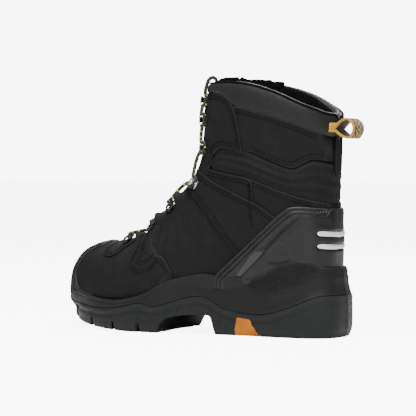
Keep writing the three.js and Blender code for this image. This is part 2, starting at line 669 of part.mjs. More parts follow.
// ---------------------------------------------------------------- lace fasteners
// Three rows of rings and four of hooks. Each row is a place along the surface, a distance
// from the throat's centre line, and what it stands on.
const ROWS = [
  { kind: "ring", u: 5.45, y: 11.5, lift: TAB_OUT },
  { kind: "ring", u: 6.72, y: 11.8, lift: 0 },
  { kind: "ring", u: 7.62, y: 12.4, lift: 0 },
  { kind: "hook", u: 8.95, y: 24.5, lift: 0 },
  { kind: "hook", u: 10.45, y: 25.5, lift: 0 },
  { kind: "hook", u: 11.7, y: 25.5, lift: 0 },
  { kind: "hook", u: 12.62, y: 25.5, lift: 0 },
];

function phiAt(u, y) {
  let low = 0;
  let high = Math.PI / 2;
  for (let i = 0; i < 40; i += 1) {
    const middlePhi = (low + high) / 2;
    if (surfacePoint(u, middlePhi).y - section(u)[5] < y) low = middlePhi;
    else high = middlePhi;
  }
  return low;
}

// A fastener's own axes: "in" runs across the boot to the throat, "up" along it, "out" off it.
function frameAt(u, y, side, lift) {
  const phi = side * phiAt(u, y);
  const out = surfaceNormal(u, phi);
  const along = surfacePoint(u + 0.01, phi).sub(surfacePoint(u - 0.01, phi));
  const up = along.addScaledVector(out, -along.dot(out)).normalize();
  const inward = new THREE.Vector3().crossVectors(out, up).multiplyScalar(side);
  const origin = offsetPoint(u, phi, lift);
  return { phi, origin, inward, up, out, side };
}

function place(frame, inward, up, out) {
  return frame.origin.clone()
    .addScaledVector(frame.inward, inward)
    .addScaledVector(frame.up, up)
    .addScaledVector(frame.out, out);
}

// A right-handed matrix for a piece modelled with x inward, y up the boot and z outward.
function frameMatrix(frame) {
  const across = frame.inward.clone().multiplyScalar(frame.side > 0 ? -1 : 1);
  return new THREE.Matrix4().makeBasis(across, frame.up, frame.out).setPosition(frame.origin);
}

const PLATE_LOW = 0.4;
const PLATE_HIGH = 1.2;
const LIP_LOW = 6;
const LIP_HIGH = 7.2;
const LIP_OUTLINE = [
  [-2.2, -3.5], [-0.5, -4], [4, -3.4], [4, 3.4], [-0.5, 4], [-2.2, 3.5], [-3.2, 2.2],
  [-3.2, -2.2],
];
// A plate riveted to the leather, a neck and a lip that opens towards the boot's outside.
function hookSolid() {
  const plate = box(-5, 5, -4.5, 4.5, PLATE_LOW, PLATE_HIGH);
  const neck = box(1.7, 3.3, -2.5, 2.5, PLATE_HIGH - 0.2, LIP_LOW + 0.4);
  return plate.add(neck).add(planPrism(LIP_OUTLINE, LIP_LOW, LIP_HIGH));
}

const RING_BAR = 3.4;             // height of the ring's bar over the leather
const RING_WIRE = 1.2;            // radius of the ring's wire
// A closed tube along a smooth curve through the points.
function tube(points, radius, sides) {
  const route = new THREE.CatmullRomCurve3(points, false, "centripetal");
  route.getUtoTmapping = (u) => u;
  const ring = new THREE.Shape();
  for (let i = 0; i < sides; i += 1) {
    const angle = (2 * Math.PI * i) / sides;
    const x = radius * Math.cos(angle);
    const y = radius * Math.sin(angle);
    if (i === 0) ring.moveTo(x, y);
    else ring.lineTo(x, y);
  }
  ring.closePath();
  const steps = points.length - 1;
  return solid(new THREE.ExtrudeGeometry(ring, { steps, extrudePath: route, bevelEnabled: false }));
}

// Half of the ring's wire, from under its plate to the middle of its bar.
const HALF_WIRE = [
  [-9, 3.2, 1.1], [-5.5, 4.6, 1.6], [-2, 5, 2.6], [1.2, 4.4, RING_BAR], [2, 2.6, RING_BAR],
];
function ringSolid() {
  const plate = box(-12, -4.3, -4.2, 4.2, PLATE_LOW, PLATE_HIGH + 0.2);
  const points = [...HALF_WIRE, ...HALF_WIRE.map(([x, y, z]) => [x, -y, z]).reverse()];
  const wire = tube(points.map((p) => new THREE.Vector3(...p)), RING_WIRE, 6);
  return plate.add(wire.intersect(box(-12, 8, -8, 8, PLATE_LOW, 9)));
}

const hookShape = hookSolid();
const ringShape = ringSolid();
const mirrored = (shape) => shape.scale([-1, 1, 1]);
const frames = ROWS.map((row) => Object.fromEntries(
  SIDES.map(([name, side]) => [name, frameAt(row.u, row.y, side, row.lift)]),
));
const firstHook = ROWS.findIndex((row) => row.kind === "hook");
ROWS.forEach((row, i) => {
  const number = row.kind === "hook" ? i - firstHook + 1 : i + 1;
  const shape = row.kind === "hook" ? hookShape : ringShape;
  const look = i === firstHook ? STEEL_LOOK : GUNMETAL_LOOK;
  for (const [sideName, side] of SIDES) {
    const geometry = geometryOf(side > 0 ? mirrored(shape) : shape);
    const mesh = add(`lace_${row.kind}_${sideName}_${number}`, geometry, look);
    mesh.applyMatrix4(frameMatrix(frames[i][sideName]));
  }
});

// ---------------------------------------------------------------- lace
// Where the lace runs at each fastener, as inward, up and out distances, from its low side
// (coming from the row below) to its high side.
const RING_TURN = [
  [7.5, -1.5, 0],
  ...[-80, -40, 0, 40, 80].map((degrees, i) => {
    const angle = THREE.MathUtils.degToRad(degrees);
    const radius = RING_WIRE + LACE_RADIUS + 0.5;
    return [2 - radius * Math.cos(angle), (i - 2) * 0.4, RING_BAR + radius * Math.sin(angle)];
  }),
  [7.5, 1.5, 6.2],
];
const HOOK_LEVEL = 3.6;
const HOOK_TURN = [
  [8, -6, 3.7],
  ...[[2, -5.3], [-0.9, -3.8], [-1.1, 0], [-0.9, 3.8], [2, 5.3]].map(([x, y]) => [x, y, HOOK_LEVEL]),
  [8, 6, 4.3],
];
function turnAt(row, frame) {
  return (row.kind === "ring" ? RING_TURN : HOOK_TURN).map((p) => place(frame, ...p));
}

// The two runs between a pair of rows cross over the tongue, one above the other.
const HIGH_CROSSING = 5.0;
const LOW_CROSSING = 0.6;
function crossing(u, height) {
  return offsetPoint(u, 0, height);
}

function laceHalf(startSide) {
  const points = [];
  let side = startSide;
  ROWS.forEach((row, i) => {
    const turn = turnAt(row, frames[i][side]);
    points.push(...turn.slice(i === 0 ? 1 : 0, i === ROWS.length - 1 ? -1 : turn.length));
    if (i < ROWS.length - 1) {
      const height = side === "left" ? HIGH_CROSSING : LOW_CROSSING;
      points.push(crossing((row.u + ROWS[i + 1].u) / 2, height + (i === 0 ? TAB_OUT / 2 : 0)));
      side = side === "left" ? "right" : "left";
    }
  });
  return { points, end: frames[ROWS.length - 1][side] };
}

// Each end goes over the front of the rim and down between the tongue and the eyestay.
const POCKET_OFFSET = -4.7;
const RIM_U = 13.42;
const POCKET_OUT = [
  [RIM_U - 0.42, 4.5], [RIM_U - 0.2, 4.4], [RIM_U + 0.08, 3.3], [RIM_U + 0.2, -0.4],
  [RIM_U + 0.08, -4.5],
];
const POCKET_IN = [13.1, 12.5, 12, 11.5, 11, 10.5].map((u) => [u, POCKET_OFFSET]);
const AGLET_ROUTE = [10.44, 10];
const AGLET_RADIUS = 1.5;
const POCKET_TURN = 0.94;         // the pocket's share of the last hook's turn round the shaft
const pocketPhi = (frame) => frame.phi * POCKET_TURN;
function tuckedEnd(frame) {
  const phi = pocketPhi(frame);
  return [...POCKET_OUT, ...POCKET_IN].map(([u, offset]) => offsetPoint(u, phi, offset));
}

const barHeight = 2.2;            // of the run between the first two rings
const leftHalf = laceHalf("left");
const rightHalf = laceHalf("right");
const lacePoints = [
  ...tuckedEnd(leftHalf.end).reverse(),
  ...leftHalf.points.reverse(),
  crossing(ROWS[0].u, barHeight),
  ...rightHalf.points,
  ...tuckedEnd(rightHalf.end),
];
add("lace", geometryOf(tube(lacePoints, LACE_RADIUS, LACE_SIDES)), LACE_LOOK);
for (const [sideName, side] of SIDES) {
  const phi = pocketPhi(frames[ROWS.length - 1][sideName]);
  const points = AGLET_ROUTE.map((u) => offsetPoint(u, phi, POCKET_OFFSET));
  add(`aglet_${sideName}`, geometryOf(tube(points, AGLET_RADIUS, LACE_SIDES)), OUTSOLE_LOOK);
}

// ---------------------------------------------------------------- stand the boot on its origin
group.updateMatrixWorld(true);
const bounds = new THREE.Box3().setFromObject(group);
const middlePoint = bounds.getCenter(new THREE.Vector3());
group.position.set(-middlePoint.x, -middlePoint.y, -bounds.min.z);

export default group;
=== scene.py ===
"""Looks for the steel toe work boot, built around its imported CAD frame."""

import json
import math

import bpy
import numpy as np
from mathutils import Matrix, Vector, geometry, kdtree


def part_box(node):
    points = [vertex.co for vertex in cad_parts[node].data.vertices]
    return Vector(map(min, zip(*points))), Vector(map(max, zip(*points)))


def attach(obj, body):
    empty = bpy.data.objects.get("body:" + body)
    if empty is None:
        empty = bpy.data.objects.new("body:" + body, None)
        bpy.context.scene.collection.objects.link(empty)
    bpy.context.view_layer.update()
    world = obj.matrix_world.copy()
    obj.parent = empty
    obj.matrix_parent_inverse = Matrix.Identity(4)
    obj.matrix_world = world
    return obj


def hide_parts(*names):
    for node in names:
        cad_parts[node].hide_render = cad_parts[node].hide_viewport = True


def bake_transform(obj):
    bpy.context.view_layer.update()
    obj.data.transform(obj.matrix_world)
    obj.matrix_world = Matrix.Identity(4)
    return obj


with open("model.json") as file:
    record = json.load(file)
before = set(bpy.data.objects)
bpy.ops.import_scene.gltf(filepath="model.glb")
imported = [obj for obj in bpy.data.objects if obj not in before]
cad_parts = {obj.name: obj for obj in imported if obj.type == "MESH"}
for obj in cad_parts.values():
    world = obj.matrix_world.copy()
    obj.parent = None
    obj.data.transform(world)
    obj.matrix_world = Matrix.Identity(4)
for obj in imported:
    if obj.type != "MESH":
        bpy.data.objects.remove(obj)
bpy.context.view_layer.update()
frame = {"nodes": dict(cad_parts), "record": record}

MM = 0.001
SIDES = {"left": 1, "right": -1}

# Outlines below are in millimetres from the boot's own origin. The sole's heel end is at
# HEEL_END there, which gives the shift to the row frame.
HEEL_END = -150.0
SIDE_SHIFT = 0.406          # the boot's middle plane is this far to the left in the frame
SHIFT = np.array([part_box("outsole")[0][0] / MM - HEEL_END, SIDE_SHIFT, 0.0])


def to_frame(points):
    """Boot millimetres to frame metres."""
    return (np.asarray(points, float) + SHIFT) * MM


# ------------------------------------------------------------------ camera
VIEW_AZIMUTH = math.radians(208)
VIEW_ELEVATION = math.radians(1.5)
VIEW_DISTANCE = 1800.0
VIEW_AIM = np.array([2.2, 1.2, 122.5])
IMAGE_SIZE = 416
SENSOR = 36.0


def make_camera():
    back = np.array([
        math.sin(VIEW_AZIMUTH) * math.cos(VIEW_ELEVATION),
        -math.cos(VIEW_AZIMUTH) * math.cos(VIEW_ELEVATION),
        math.sin(VIEW_ELEVATION),
    ])
    data = bpy.data.cameras.new("camera")
    data.sensor_width = SENSOR
    data.lens = SENSOR * VIEW_DISTANCE / IMAGE_SIZE
    data.clip_end = 50
    camera = bpy.data.objects.new("camera", data)
    camera.location = to_frame(VIEW_AIM + VIEW_DISTANCE * back)
    camera.rotation_euler = Vector(back).to_track_quat("Z", "Y").to_euler()
    bpy.context.scene.collection.objects.link(camera)
    bpy.context.scene.camera = camera


make_camera()

# ------------------------------------------------------------------ small maths


def smooth(x, low, high):
    t = np.clip((np.asarray(x, float) - low) / (high - low), 0, 1)
    return t * t * (3 - 2 * t)


def bump(x, centre, width):
    return np.exp(-(((np.asarray(x, float) - centre) / width) ** 2))


def catmull(points, per_span=6, closed=False):
    """A smooth line through given points."""
    p = np.asarray(points, float)
    if closed:
        p = np.vstack([p[-1], p, p[0], p[1]])
    else:
        p = np.vstack([2 * p[0] - p[1], p, 2 * p[-1] - p[-2]])
    t = np.linspace(0, 1, per_span, endpoint=False)[:, None]
    spans = []
    for a, b, c, d in zip(p[:-3], p[1:-2], p[2:-1], p[3:]):
        spans.append(0.5 * (2 * b + (c - a) * t + (2 * a - 5 * b + 4 * c - d) * t * t
                            + (3 * b - a - 3 * c + d) * t ** 3))
    line = np.vstack(spans)
    return line if closed else np.vstack([line, p[-2]])


def resample(line, spacing, closed=False):
    """The same line with evenly spaced points."""
    line = np.asarray(line, float)
    if closed:
        line = np.vstack([line, line[:1]])
    steps = np.linalg.norm(np.diff(line, axis=0), axis=1)
    at = np.concatenate([[0], np.cumsum(steps)])
    count = max(2, int(round(at[-1] / spacing)) + 1)
    wanted = np.linspace(0, at[-1], count)
    out = np.stack([np.interp(wanted, at, line[:, k]) for k in range(line.shape[1])], 1)
    return out[:-1] if closed else out


def distance_to_line(points, line, closed=False):
    """The distance from each point to a polyline, in any number of dimensions."""
    points = np.asarray(points, float)
    line = np.asarray(line, float)
    if closed:
        line = np.vstack([line, line[:1]])
    best = np.full(len(points), 1e9)
    for a, b in zip(line[:-1], line[1:]):
        ab = b - a
        t = np.clip(((points - a) @ ab) / max(ab @ ab, 1e-12), 0, 1)
        best = np.minimum(best, np.linalg.norm(points - a - t[:, None] * ab, axis=1))
    return best


def inside(points, polygon):
    x, y = points[:, 0], points[:, 1]
    result = np.zeros(len(points), bool)
    for (x0, y0), (x1, y1) in zip(polygon, np.roll(polygon, -1, axis=0)):
        crosses = (y0 > y) != (y1 > y)
        with np.errstate(divide="ignore", invalid="ignore"):
            result ^= crosses & (x < (x1 - x0) * (y - y0) / (y1 - y0) + x0)
    return result


_waves = np.random.default_rng(7)
WAVE_DIRECTIONS = _waves.normal(size=(14, 3))
WAVE_PHASES = _waves.uniform(0, 2 * math.pi, 14)


def ripple(points, length, seed=0):
    """Soft, seeded unevenness between about -1 and 1, with a typical wave length in mm."""
    p = np.asarray(points, float) / length * 2 * math.pi
    total = np.zeros(len(p))
    for k, (direction, phase) in enumerate(zip(WAVE_DIRECTIONS, WAVE_PHASES)):
        total += np.sin(p @ np.roll(direction, seed) * (0.55 + 0.09 * k) + phase + 1.7 * seed * k)
    return total / 4


# ------------------------------------------------------------------ the boot's body surface
# The same sections as the CAD: front x and z, back x and z, half width, centre y, how far
# back the oval is widest, and the power of its front and back halves.
SECTIONS = np.array([
    [156, 46, 156, 36, 4, -14, 0.5, 2, 2],
    [154, 63, 155, 24, 21, -13, 0.55, 2.1, 2.4],
    [147, 74, 150, 20, 32, -11, 0.6, 2.1, 2.8],
    [135, 81, 139, 18, 40, -8.5, 0.62, 2.2, 3],
    [117, 85, 120, 17, 45, -5.5, 0.63, 2.2, 3],
    [95, 86, 97, 17, 48.5, -2.5, 0.64, 2.1, 3],
    [73, 93, 70, 18, 49, 0.5, 0.66, 2, 3],
    [50, 111, 36, 20, 45.5, 2.5, 0.66, 2, 3],
    [27, 137, -8, 24, 39.5, 2.5, 0.62, 2, 2.9],
    [10, 163, -66, 26, 40, 1, 0.54, 2, 2.8],
    [4, 186, -127, 33, 42.5, 0, 0.5, 2, 2.6],
    [2, 206, -139, 84, 45, 0, 0.5, 2, 2.4],
    [1, 224, -136.5, 132, 46, 0, 0.5, 2, 2.3],
    [-3, 241, -138, 184, 46, 0, 0.5, 2.1, 2.3],
    [-10, 262, -140, 240, 46, 0, 0.5, 2.2, 2.3],
], float)
LAST_SECTION = len(SECTIONS) - 1
SECTION_STEP = 20.0        # rough mm per section, to flatten (u, phi) for meshing
TURN_RADIUS = 50.0         # rough mm per radian


def sections_at(u):
    u = np.clip(np.asarray(u, float), 0, LAST_SECTION)
    i = np.minimum(u.astype(int), LAST_SECTION - 1)
    t = (u - i)[..., None]
    b, c = SECTIONS[i], SECTIONS[i + 1]
    a = np.where((i == 0)[..., None], 2 * b - c, SECTIONS[np.maximum(i - 1, 0)])
    d = np.where((i == LAST_SECTION - 1)[..., None], 2 * c - b, SECTIONS[np.minimum(i + 2, LAST_SECTION)])
    return 0.5 * (2 * b + (c - a) * t + (2 * a - 5 * b + 4 * c - d) * t * t
                  + (3 * b - a - 3 * c + d) * t ** 3)


def surface(u, phi):
    """A point of the body: phi goes round from the front over the left side to the back."""
    q = sections_at(u)
    fx, fz, bx, bz, half, cy, widest, front_power, back_power = [q[..., k] for k in range(9)]
    cos, sin = np.cos(phi), np.sin(phi)
    mix = smooth((1 - cos) / 2, 0, 1)
    power = front_power + (back_power - front_power) * mix
    r = (np.abs(cos) ** power + np.abs(sin) ** power + 1e-12) ** (-1 / power)
    along = np.where(cos > 0, widest, 1 - widest) * r * cos
    x = fx + widest * (bx - fx) + along * (fx - bx)
    z = fz + widest * (bz - fz) + along * (fz - bz)
    return np.stack([x, cy + half * r * sin, z], -1)


def slopes(u, phi, e=1e-3):
    u = np.asarray(u, float)
    up, low = np.minimum(u + e, LAST_SECTION), np.maximum(u - e, 0)
    along_u = (surface(up, phi) - surface(low, phi)) / (up - low)[..., None]
    along_phi = (surface(u, phi + e) - surface(u, phi - e)) / (2 * e)
    return along_u, along_phi


def normal(u, phi):
    along_u, along_phi = slopes(u, phi)
    n = np.cross(along_phi, along_u)
    return n / np.linalg.norm(n, axis=-1, keepdims=True)


def raised(u, phi, height):
    return surface(u, phi) + normal(u, phi) * np.asarray(height, float)[..., None]


def build_locator():
    us, phis = np.meshgrid(np.linspace(0, LAST_SECTION, 561), np.linspace(0, math.pi, 181), indexing="ij")
    points = surface(us, phis)
    tree = kdtree.KDTree(us.size)
    for index, (x, _, z) in enumerate(points.reshape(-1, 3)):
        tree.insert((x, 0, z), index)
    tree.balance()
    return tree, us.ravel(), phis.ravel()


LOCATOR = build_locator()


def locate(side_view):
    """(u, phi) on the left side for side-view points (x, z); outside ones land on the rim."""
    tree, us, phis = LOCATOR
    found = [tree.find((x, 0, z))[1] for x, z in side_view]
    u, phi = us[found].copy(), phis[found].copy()
    target = np.asarray(side_view, float)
    for _ in range(4):
        along_u, along_phi = slopes(u, phi)
        miss = target - surface(u, phi)[:, [0, 2]]
        a, b = along_u[:, 0], along_phi[:, 0]
        c, d = along_u[:, 2], along_phi[:, 2]
        det = a * d - b * c
        good = np.abs(det) > 60
        det = np.where(good, det, 1)
        step_u = np.where(good, (d * miss[:, 0] - b * miss[:, 1]) / det, 0)
        step_phi = np.where(good, (a * miss[:, 1] - c * miss[:, 0]) / det, 0)
        u = np.clip(u + np.clip(step_u, -0.05, 0.05), 0, LAST_SECTION)
        phi = np.clip(phi + np.clip(step_phi, -0.05, 0.05), 0, math.pi)
    return np.stack([u, phi], 1)


def newton(domain, points, axes, turns, limit):
    """Moves (u, phi) places step by step until these two of their coordinates fit the points."""
    i, j = axes
    for _ in range(turns):
        along_u, along_phi = slopes(domain[:, 0], domain[:, 1])
        miss = points - surface(domain[:, 0], domain[:, 1])[:, axes]
        det = along_u[:, i] * along_phi[:, j] - along_phi[:, i] * along_u[:, j]
        step_u = (along_phi[:, j] * miss[:, 0] - along_phi[:, i] * miss[:, 1]) / det
        step_phi = (along_u[:, i] * miss[:, 1] - along_u[:, j] * miss[:, 0]) / det
        domain += np.clip(np.stack([step_u, step_phi], 1), -limit, limit)
    return domain


# ------------------------------------------------------------------ meshes
def make_object(name, points, faces, uv=None, smooth_shading=True):
    if name in bpy.data.objects:
        name = f"{name}_skin"
    mesh = bpy.data.meshes.new(name)
    mesh.from_pydata([tuple(p) for p in to_frame(points)], [], [tuple(f) for f in faces])
    if smooth_shading:
        mesh.polygons.foreach_set("use_smooth", [True] * len(mesh.polygons))
    if uv is not None:
        layer = mesh.uv_layers.new(name="mm")
        loops = np.empty(len(mesh.loops), int)
        mesh.loops.foreach_get("vertex_index", loops)
        layer.data.foreach_set("uv", np.asarray(uv, float)[loops].ravel())
    mesh.update()
    piece = bpy.data.objects.new(name, mesh)
    bpy.context.scene.collection.objects.link(piece)
    return piece


def stack_faces(rings):
    """A solid from a stack of rings of equal length, capped at both ends."""
    count = len(rings[0])
    points = [p for ring in rings for p in ring]
    faces = []
    for r in range(len(rings) - 1):
        for k in range(count):
            a, b = r * count + k, r * count + (k + 1) % count
            faces.append([a, b, b + count, a + count])
    faces.append(list(range(count))[::-1])
    faces.append([len(points) - count + k for k in range(count)])
    return points, faces


def outward(points, faces):
    """Turns the faces so that the solid's volume is positive."""
    volume = 0.0
    for face in faces:
        for k in range(1, len(face) - 1):
            volume += np.dot(points[face[0]], np.cross(points[face[k]], points[face[k + 1]]))
    return faces if volume > 0 else [face[::-1] for face in faces]


def stacked(name, rings):
    """A closed solid through a stack of rings, with its faces turned outwards."""
    points, faces = stack_faces(rings)
    points = np.array(points)
    return make_object(name, points, outward(points, faces))


def flatten(domain):
    return domain * np.array([SECTION_STEP, TURN_RADIUS])


def domain_scale(domain):
    """Real mm per flattened mm, along u and along phi."""
    along_u, along_phi = slopes(domain[:, 0], domain[:, 1])
    return np.stack([np.linalg.norm(along_u, axis=1) / SECTION_STEP,
                     np.linalg.norm(along_phi, axis=1) / TURN_RADIUS], 1)


def inset_line(domain, distance):
    """A closed (u, phi) outline moved in by a real distance, point by point."""
    flat = flatten(domain)
    scale = domain_scale(domain)
    tangent = (np.roll(flat, -1, axis=0) - np.roll(flat, 1, axis=0)) * scale
    tangent /= np.linalg.norm(tangent, axis=1, keepdims=True) + 1e-9
    area = np.sum(flat[:, 0] * np.roll(flat[:, 1], -1) - np.roll(flat[:, 0], -1) * flat[:, 1])
    turn = 1 if area > 0 else -1
    inward = np.stack([-tangent[:, 1], tangent[:, 0]], 1) * turn
    return (flat + inward * distance / scale) / np.array([SECTION_STEP, TURN_RADIUS])


def body_grid(low_u, high_u, low_phi, high_phi, spacing):
    """Points spread over a (u, phi) box with about that real spacing."""
    rows = []
    u = low_u
    row = 0
    while u < high_u:
        middle = 0.5 * (low_phi + high_phi)
        along_u, _ = slopes(np.array([u]), np.array([middle]))
        ring = surface(np.full(61, u), np.linspace(low_phi, high_phi, 61))
        arc = np.linalg.norm(np.diff(ring, axis=0), axis=1).sum()
        count = max(3, int(arc / spacing))
        phis = low_phi + (high_phi - low_phi) * (np.arange(count) + 0.25 + 0.5 * (row % 2)) / count
        rows.append(np.stack([np.full(count, u), phis], 1))
        u += spacing * 0.87 / max(np.linalg.norm(along_u), 6.0)
        row += 1
    return np.vstack(rows)


EDGE_RINGS = (0.35, 0.9)


def panel(name, outline, height, thickness=1.6, spacing=2.4, edge_drop=0.8, rings=()):
    """A sheet of leather or plastic on the body, inside a closed (u, phi) outline.

    height(points, domain) is how far the sheet's face stands off the body, in mm. Its cut
    edge is rounded off over the edge rings, and its wall goes down by the thickness.
    """
    outline = np.asarray(outline, float)
    flat_outline = flatten(outline)
    candidates = []
    for distance in tuple(EDGE_RINGS) + tuple(rings):
        candidates.append((inset_line(outline, distance), distance))
    keep = []
    for line, distance in candidates:
        flat = flatten(line)
        scale = domain_scale(line).mean(axis=1)
        gap = distance_to_line(flat, flat_outline, closed=True) * scale
        good = inside(flat, flat_outline) & (gap > 0.7 * distance)
        keep.append(line[good])
    low, high = outline.min(axis=0), outline.max(axis=0)
    grid = body_grid(low[0], high[0], low[1], high[1], spacing)
    flat = flatten(grid)
    clear = max([distance for _, distance in candidates]) + 0.45 * spacing
    good = inside(flat, flat_outline)
    grid, flat = grid[good], flat[good]
    gap = distance_to_line(flat, flat_outline, closed=True) * domain_scale(grid).mean(axis=1)
    keep.append(grid[gap > clear])
    domain = np.vstack([outline] + keep)
    count = len(outline)
    border = [(i, (i + 1) % count) for i in range(count)]
    flat_points = [Vector(p) for p in flatten(domain)]
    verts, _, faces, _, _, _ = geometry.delaunay_2d_cdt(flat_points, border, [], 1, 1e-5)
    flat_out = np.array([tuple(v) for v in verts])
    domain = flat_out / np.array([SECTION_STEP, TURN_RADIUS])
    base = surface(domain[:, 0], domain[:, 1])
    out = normal(domain[:, 0], domain[:, 1])
    gap = distance_to_line(flat_out, flat_outline, closed=True) * domain_scale(domain).mean(axis=1)
    drop = edge_drop * np.clip(1 - gap / 0.9, 0, 1) ** 2
    top = base + out * (height(base, domain) - drop)[:, None]
    triangles = [list(f) for f in faces]
    a, b, c = (top[[f[k] for f in triangles]] for k in range(3))
    facing = np.einsum("ij,ij->i", np.cross(b - a, c - a), out[[f[0] for f in triangles]])
    triangles = [f if s > 0 else f[::-1] for f, s in zip(triangles, facing)]
    half_edges = {}
    for f in triangles:
        for i in range(3):
            half_edges[(f[i], f[(i + 1) % 3])] = True
    rim = [e for e in half_edges if (e[1], e[0]) not in half_edges]
    used = sorted({v for e in rim for v in e})
    lower = {v: len(top) + k for k, v in enumerate(used)}
    points = np.vstack([top, top[used] - out[used] * thickness])
    uv = np.vstack([flat_out, flat_out[used] + thickness])
    walls = [[b, a, lower[a], lower[b]] for a, b in rim]
    piece = make_object(name, points, triangles + walls, uv)
    # mask for the painted shadow along each cut edge: 1 on the wall, 0.75 on the rim of the face
    edge_shadow_mark = np.zeros(len(points))
    edge_shadow_mark[len(top):] = 1
    edge_shadow_mark[used] = 0.75
    layer = piece.data.attributes.new("edge", "FLOAT", "POINT")
    layer.data.foreach_set("value", edge_shadow_mark)
    return piece


def mirrored(outline):
    """The same outline on the right side."""
    return np.asarray(outline)[::-1] * np.array([1, -1])


# ------------------------------------------------------------------ materials
class Look:
    """A procedural material: nodes are placed by small helpers and joined to one shader."""

    def __init__(self, name, colour, roughness, metallic=0.0, specular=0.5, sheen=0.0, coat=0.0):
        self.material = bpy.data.materials.new(name)
        self.material.use_nodes = True
        self.tree = self.material.node_tree
        self.shader = self.tree.nodes["Principled BSDF"]
        self.set("Base Color", (*colour, 1))
        self.set("Roughness", roughness)
        self.set("Metallic", metallic)
        self.set("Specular IOR Level", specular)
        self.set("Sheen Weight", sheen)
        self.set("Sheen Roughness", 0.45)
        self.set("Coat Weight", coat)
        self.place = self.node("ShaderNodeTexCoord").outputs["Object"]
        self.uv = self.node("ShaderNodeTexCoord").outputs["UV"]
        self.last_bump = None

    def set(self, socket, value):
        self.shader.inputs[socket].default_value = value

    def node(self, kind, **values):
        made = self.tree.nodes.new(kind)
        for key, value in values.items():
            setattr(made, key, value)
        return made

    def link(self, out, into):
        self.tree.links.new(out, into)

    def noise(self, size_mm, detail=3.0, roughness=0.55, vector=None):
        n = self.node("ShaderNodeTexNoise")
        n.inputs["Scale"].default_value = 1 / (size_mm * MM) if vector is None else 1 / size_mm
        n.inputs["Detail"].default_value = detail
        n.inputs["Roughness"].default_value = roughness
        self.link(vector or self.place, n.inputs["Vector"])
        return n.outputs["Fac"]

    def cells(self, size_mm, vector=None, feature="F1"):
        n = self.node("ShaderNodeTexVoronoi", feature=feature)
        n.inputs["Scale"].default_value = 1 / (size_mm * MM) if vector is None else 1 / size_mm
        self.link(vector or self.place, n.inputs["Vector"])
        return n.outputs["Distance"]

    def bands(self, size_mm, axis="X", vector=None, distortion=0.0, profile="SIN"):
        n = self.node("ShaderNodeTexWave", bands_direction=axis, wave_profile=profile)
        # a wave texture repeats every pi / 10 of its scaled coordinate
        n.inputs["Scale"].default_value = math.pi / 10 / (size_mm * (MM if vector is None else 1))
        n.inputs["Distortion"].default_value = distortion
        self.link(vector or self.place, n.inputs["Vector"])
        return n.outputs["Fac"]

    def sharpness(self):
        return self.node("ShaderNodeNewGeometry").outputs["Pointiness"]

    def scale(self, fac, low, high, to_low=0.0, to_high=1.0):
        n = self.node("ShaderNodeMapRange")
        ends = {"From Min": low, "From Max": high, "To Min": to_low, "To Max": to_high}
        for socket, value in ends.items():
            n.inputs[socket].default_value = value
        self.link(fac, n.inputs["Value"])
        return n.outputs["Result"]

    def math(self, operation, a, b=None):
        n = self.node("ShaderNodeMath", operation=operation)
        for socket, value in zip(n.inputs, (a, b)):
            if value is None:
                continue
            if isinstance(value, (int, float)):
                socket.default_value = value
            else:
                self.link(value, socket)
        return n.outputs["Value"]

    def split(self, vector):
        n = self.node("ShaderNodeSeparateXYZ")
        self.link(vector, n.inputs[0])
        return n.outputs

    def ramp(self, fac, *stops):
        n = self.node("ShaderNodeValToRGB")
        while len(n.color_ramp.elements) < len(stops):
            n.color_ramp.elements.new(0.5)
        for element, (position, colour) in zip(n.color_ramp.elements, stops):
            element.position = position
            element.color = (*colour, 1)
        self.link(fac, n.inputs["Fac"])
        return n.outputs["Color"]

    def blend(self, fac, a, b):
        n = self.node("ShaderNodeMix", data_type="RGBA")
        self.link(fac, n.inputs["Factor"])
        for socket, value in ((n.inputs["A"], a), (n.inputs["B"], b)):
            n_socket = [s for s in n.inputs if s.name == socket.name and s.type == "RGBA"][0]
            if isinstance(value, tuple):
                n_socket.default_value = (*value, 1)
            else:
                self.link(value, n_socket)
        return [s for s in n.outputs if s.type == "RGBA"][0]

    def colour(self, socket):
        self.link(socket, self.shader.inputs["Base Color"])

    def rough(self, fac, low, high, to_low, to_high):
        self.link(self.scale(fac, low, high, to_low, to_high), self.shader.inputs["Roughness"])

    def bump(self, height, depth_mm, strength=1.0):
        n = self.node("ShaderNodeBump")
        n.inputs["Strength"].default_value = strength
        n.inputs["Distance"].default_value = depth_mm * MM
        self.link(height, n.inputs["Height"])
        if self.last_bump is not None:
            self.link(self.last_bump, n.inputs["Normal"])
        self.last_bump = n.outputs["Normal"]
        self.link(self.last_bump, self.shader.inputs["Normal"])


def grey(value, warmth=0.0):
    return (value * (1 + warmth), value, value * (1 - warmth))


def nubuck_look(name, tone=0.0068, roughness=0.72):
    look = Look(name, grey(tone), roughness, specular=0.11)
    cloud = look.noise(22, 4, 0.6)
    nap = look.noise(1.1, 4, 0.65)
    shade = look.ramp(cloud, (0.3, grey(tone * 0.78)), (0.55, grey(tone)), (0.75, grey(tone * 1.35, 0.02)))
    # painted highlight: sharp convex edges are lightened by pointiness, standing in for light catching the
    # edges
    edge_highlight = look.scale(look.sharpness(), 0.505, 0.56)
    brushed = look.blend(look.scale(nap, 0.35, 0.7, 0, 0.5), shade, grey(tone * 1.5))
    face = look.blend(edge_highlight, brushed, grey(tone * 2.2))
    # painted shadow: the panel's wall and the rim of its face are darkened almost to black, standing in for
    # the shadow line under each cut edge
    step_shadow = look.node("ShaderNodeAttribute", attribute_name="edge").outputs["Fac"]
    look.colour(look.blend(step_shadow, face, grey(tone * 0.12)))
    look.rough(nap, 0.3, 0.7, roughness - 0.1, roughness + 0.12)
    look.bump(look.cells(0.9), 0.10, 0.5)
    look.bump(nap, 0.16, 0.6)
    look.bump(look.noise(7, 3), 0.5, 0.35)
    return look.material


